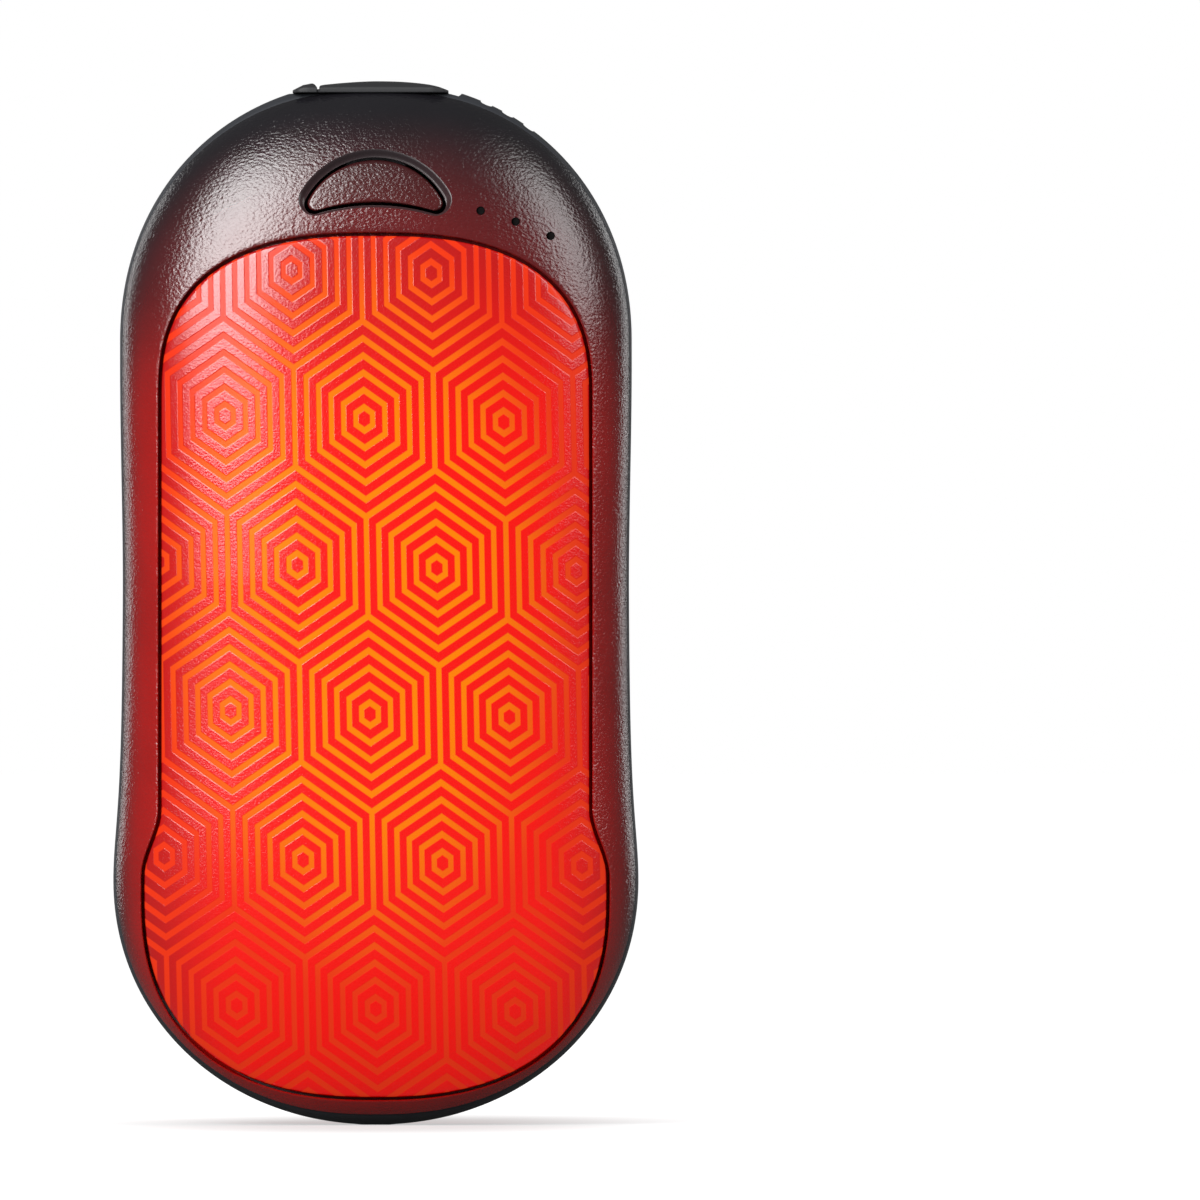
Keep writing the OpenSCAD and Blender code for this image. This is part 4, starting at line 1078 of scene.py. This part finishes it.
# Painted shadow: near the case the floor gives off less light, in an oval half as wide in X as in Y.
painted_shadow_span, lift_outside_painted_shadow = (18.0, 90.0), 0.96
painted_shadow_lift = calc(tree, "MULTIPLY_ADD", soft_step(tree, away, *painted_shadow_span), lift_outside_painted_shadow, 1.0)
tree.links.new(calc(tree, "MULTIPLY", seen, painted_shadow_lift), shader.inputs["Emission Strength"])
floor_data.materials.append(floor_white)
floor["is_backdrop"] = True

world = bpy.data.worlds.new("studio")
bpy.context.scene.world = world
world.use_nodes = True
tree = world.node_tree
backdrop = next(n for n in tree.nodes if n.type == "BACKGROUND")
backdrop.inputs["Color"].default_value = (1, 1, 1, 1)
seen = background_seen(tree, 1.0 - ambient, gloss_level)
tree.links.new(calc(tree, "ADD", seen, ambient), backdrop.inputs["Strength"])
print("floor and world ready")

# %% [markdown]
# ## Studio lights
# One large soft light stands upper left, near the camera, and draws the pink sheen on the panel
# and the shoulder. A weaker one on the right does the same there, and two thin strips behind the
# case light its edges. A picture of a studio could light it too, but four lamps are easy to move.

# %% Place the lights
light_target = (0, 0, 0.06)


def soft_light(name, place, size, power):
    data = bpy.data.lights.new(name, "AREA")
    data.shape, data.size, data.size_y = "RECTANGLE", *size
    data.energy = power
    light = bpy.data.objects.new(name, data)
    light.location = place
    aim = Vector(light_target) - Vector(place)
    light.rotation_euler = aim.to_track_quat("-Z", "Y").to_euler()
    light.visible_camera = False
    bpy.context.scene.collection.objects.link(light)


soft_light("key_upper_left", (-0.417, -0.553, 0.46), (0.5, 0.7), 11.0)
soft_light("fill_right", (0.633, -0.282, 0.46), (0.38, 0.6), 3.0)
soft_light("rim_left", (-0.535, 0.594, 0.102), (0.1, 0.7), 0.8)
soft_light("rim_right", (0.535, 0.594, 0.102), (0.1, 0.7), 0.8)

# %% [markdown]
# ## Check the size
# The dressed model has to fill the same box as the imported one. Looking is not enough to tell, as
# a tenth of a millimetre is not seen, so both boxes are written out and compared.

# %% Write the sizes
scene_box = [list(corner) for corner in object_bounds()]
for end, dressed, packed in zip(("low", "high"), scene_box, cad_box):
    print(end, "corner differs in mm by", [round((a - b) / MM, 2) for a, b in zip(dressed, packed)])
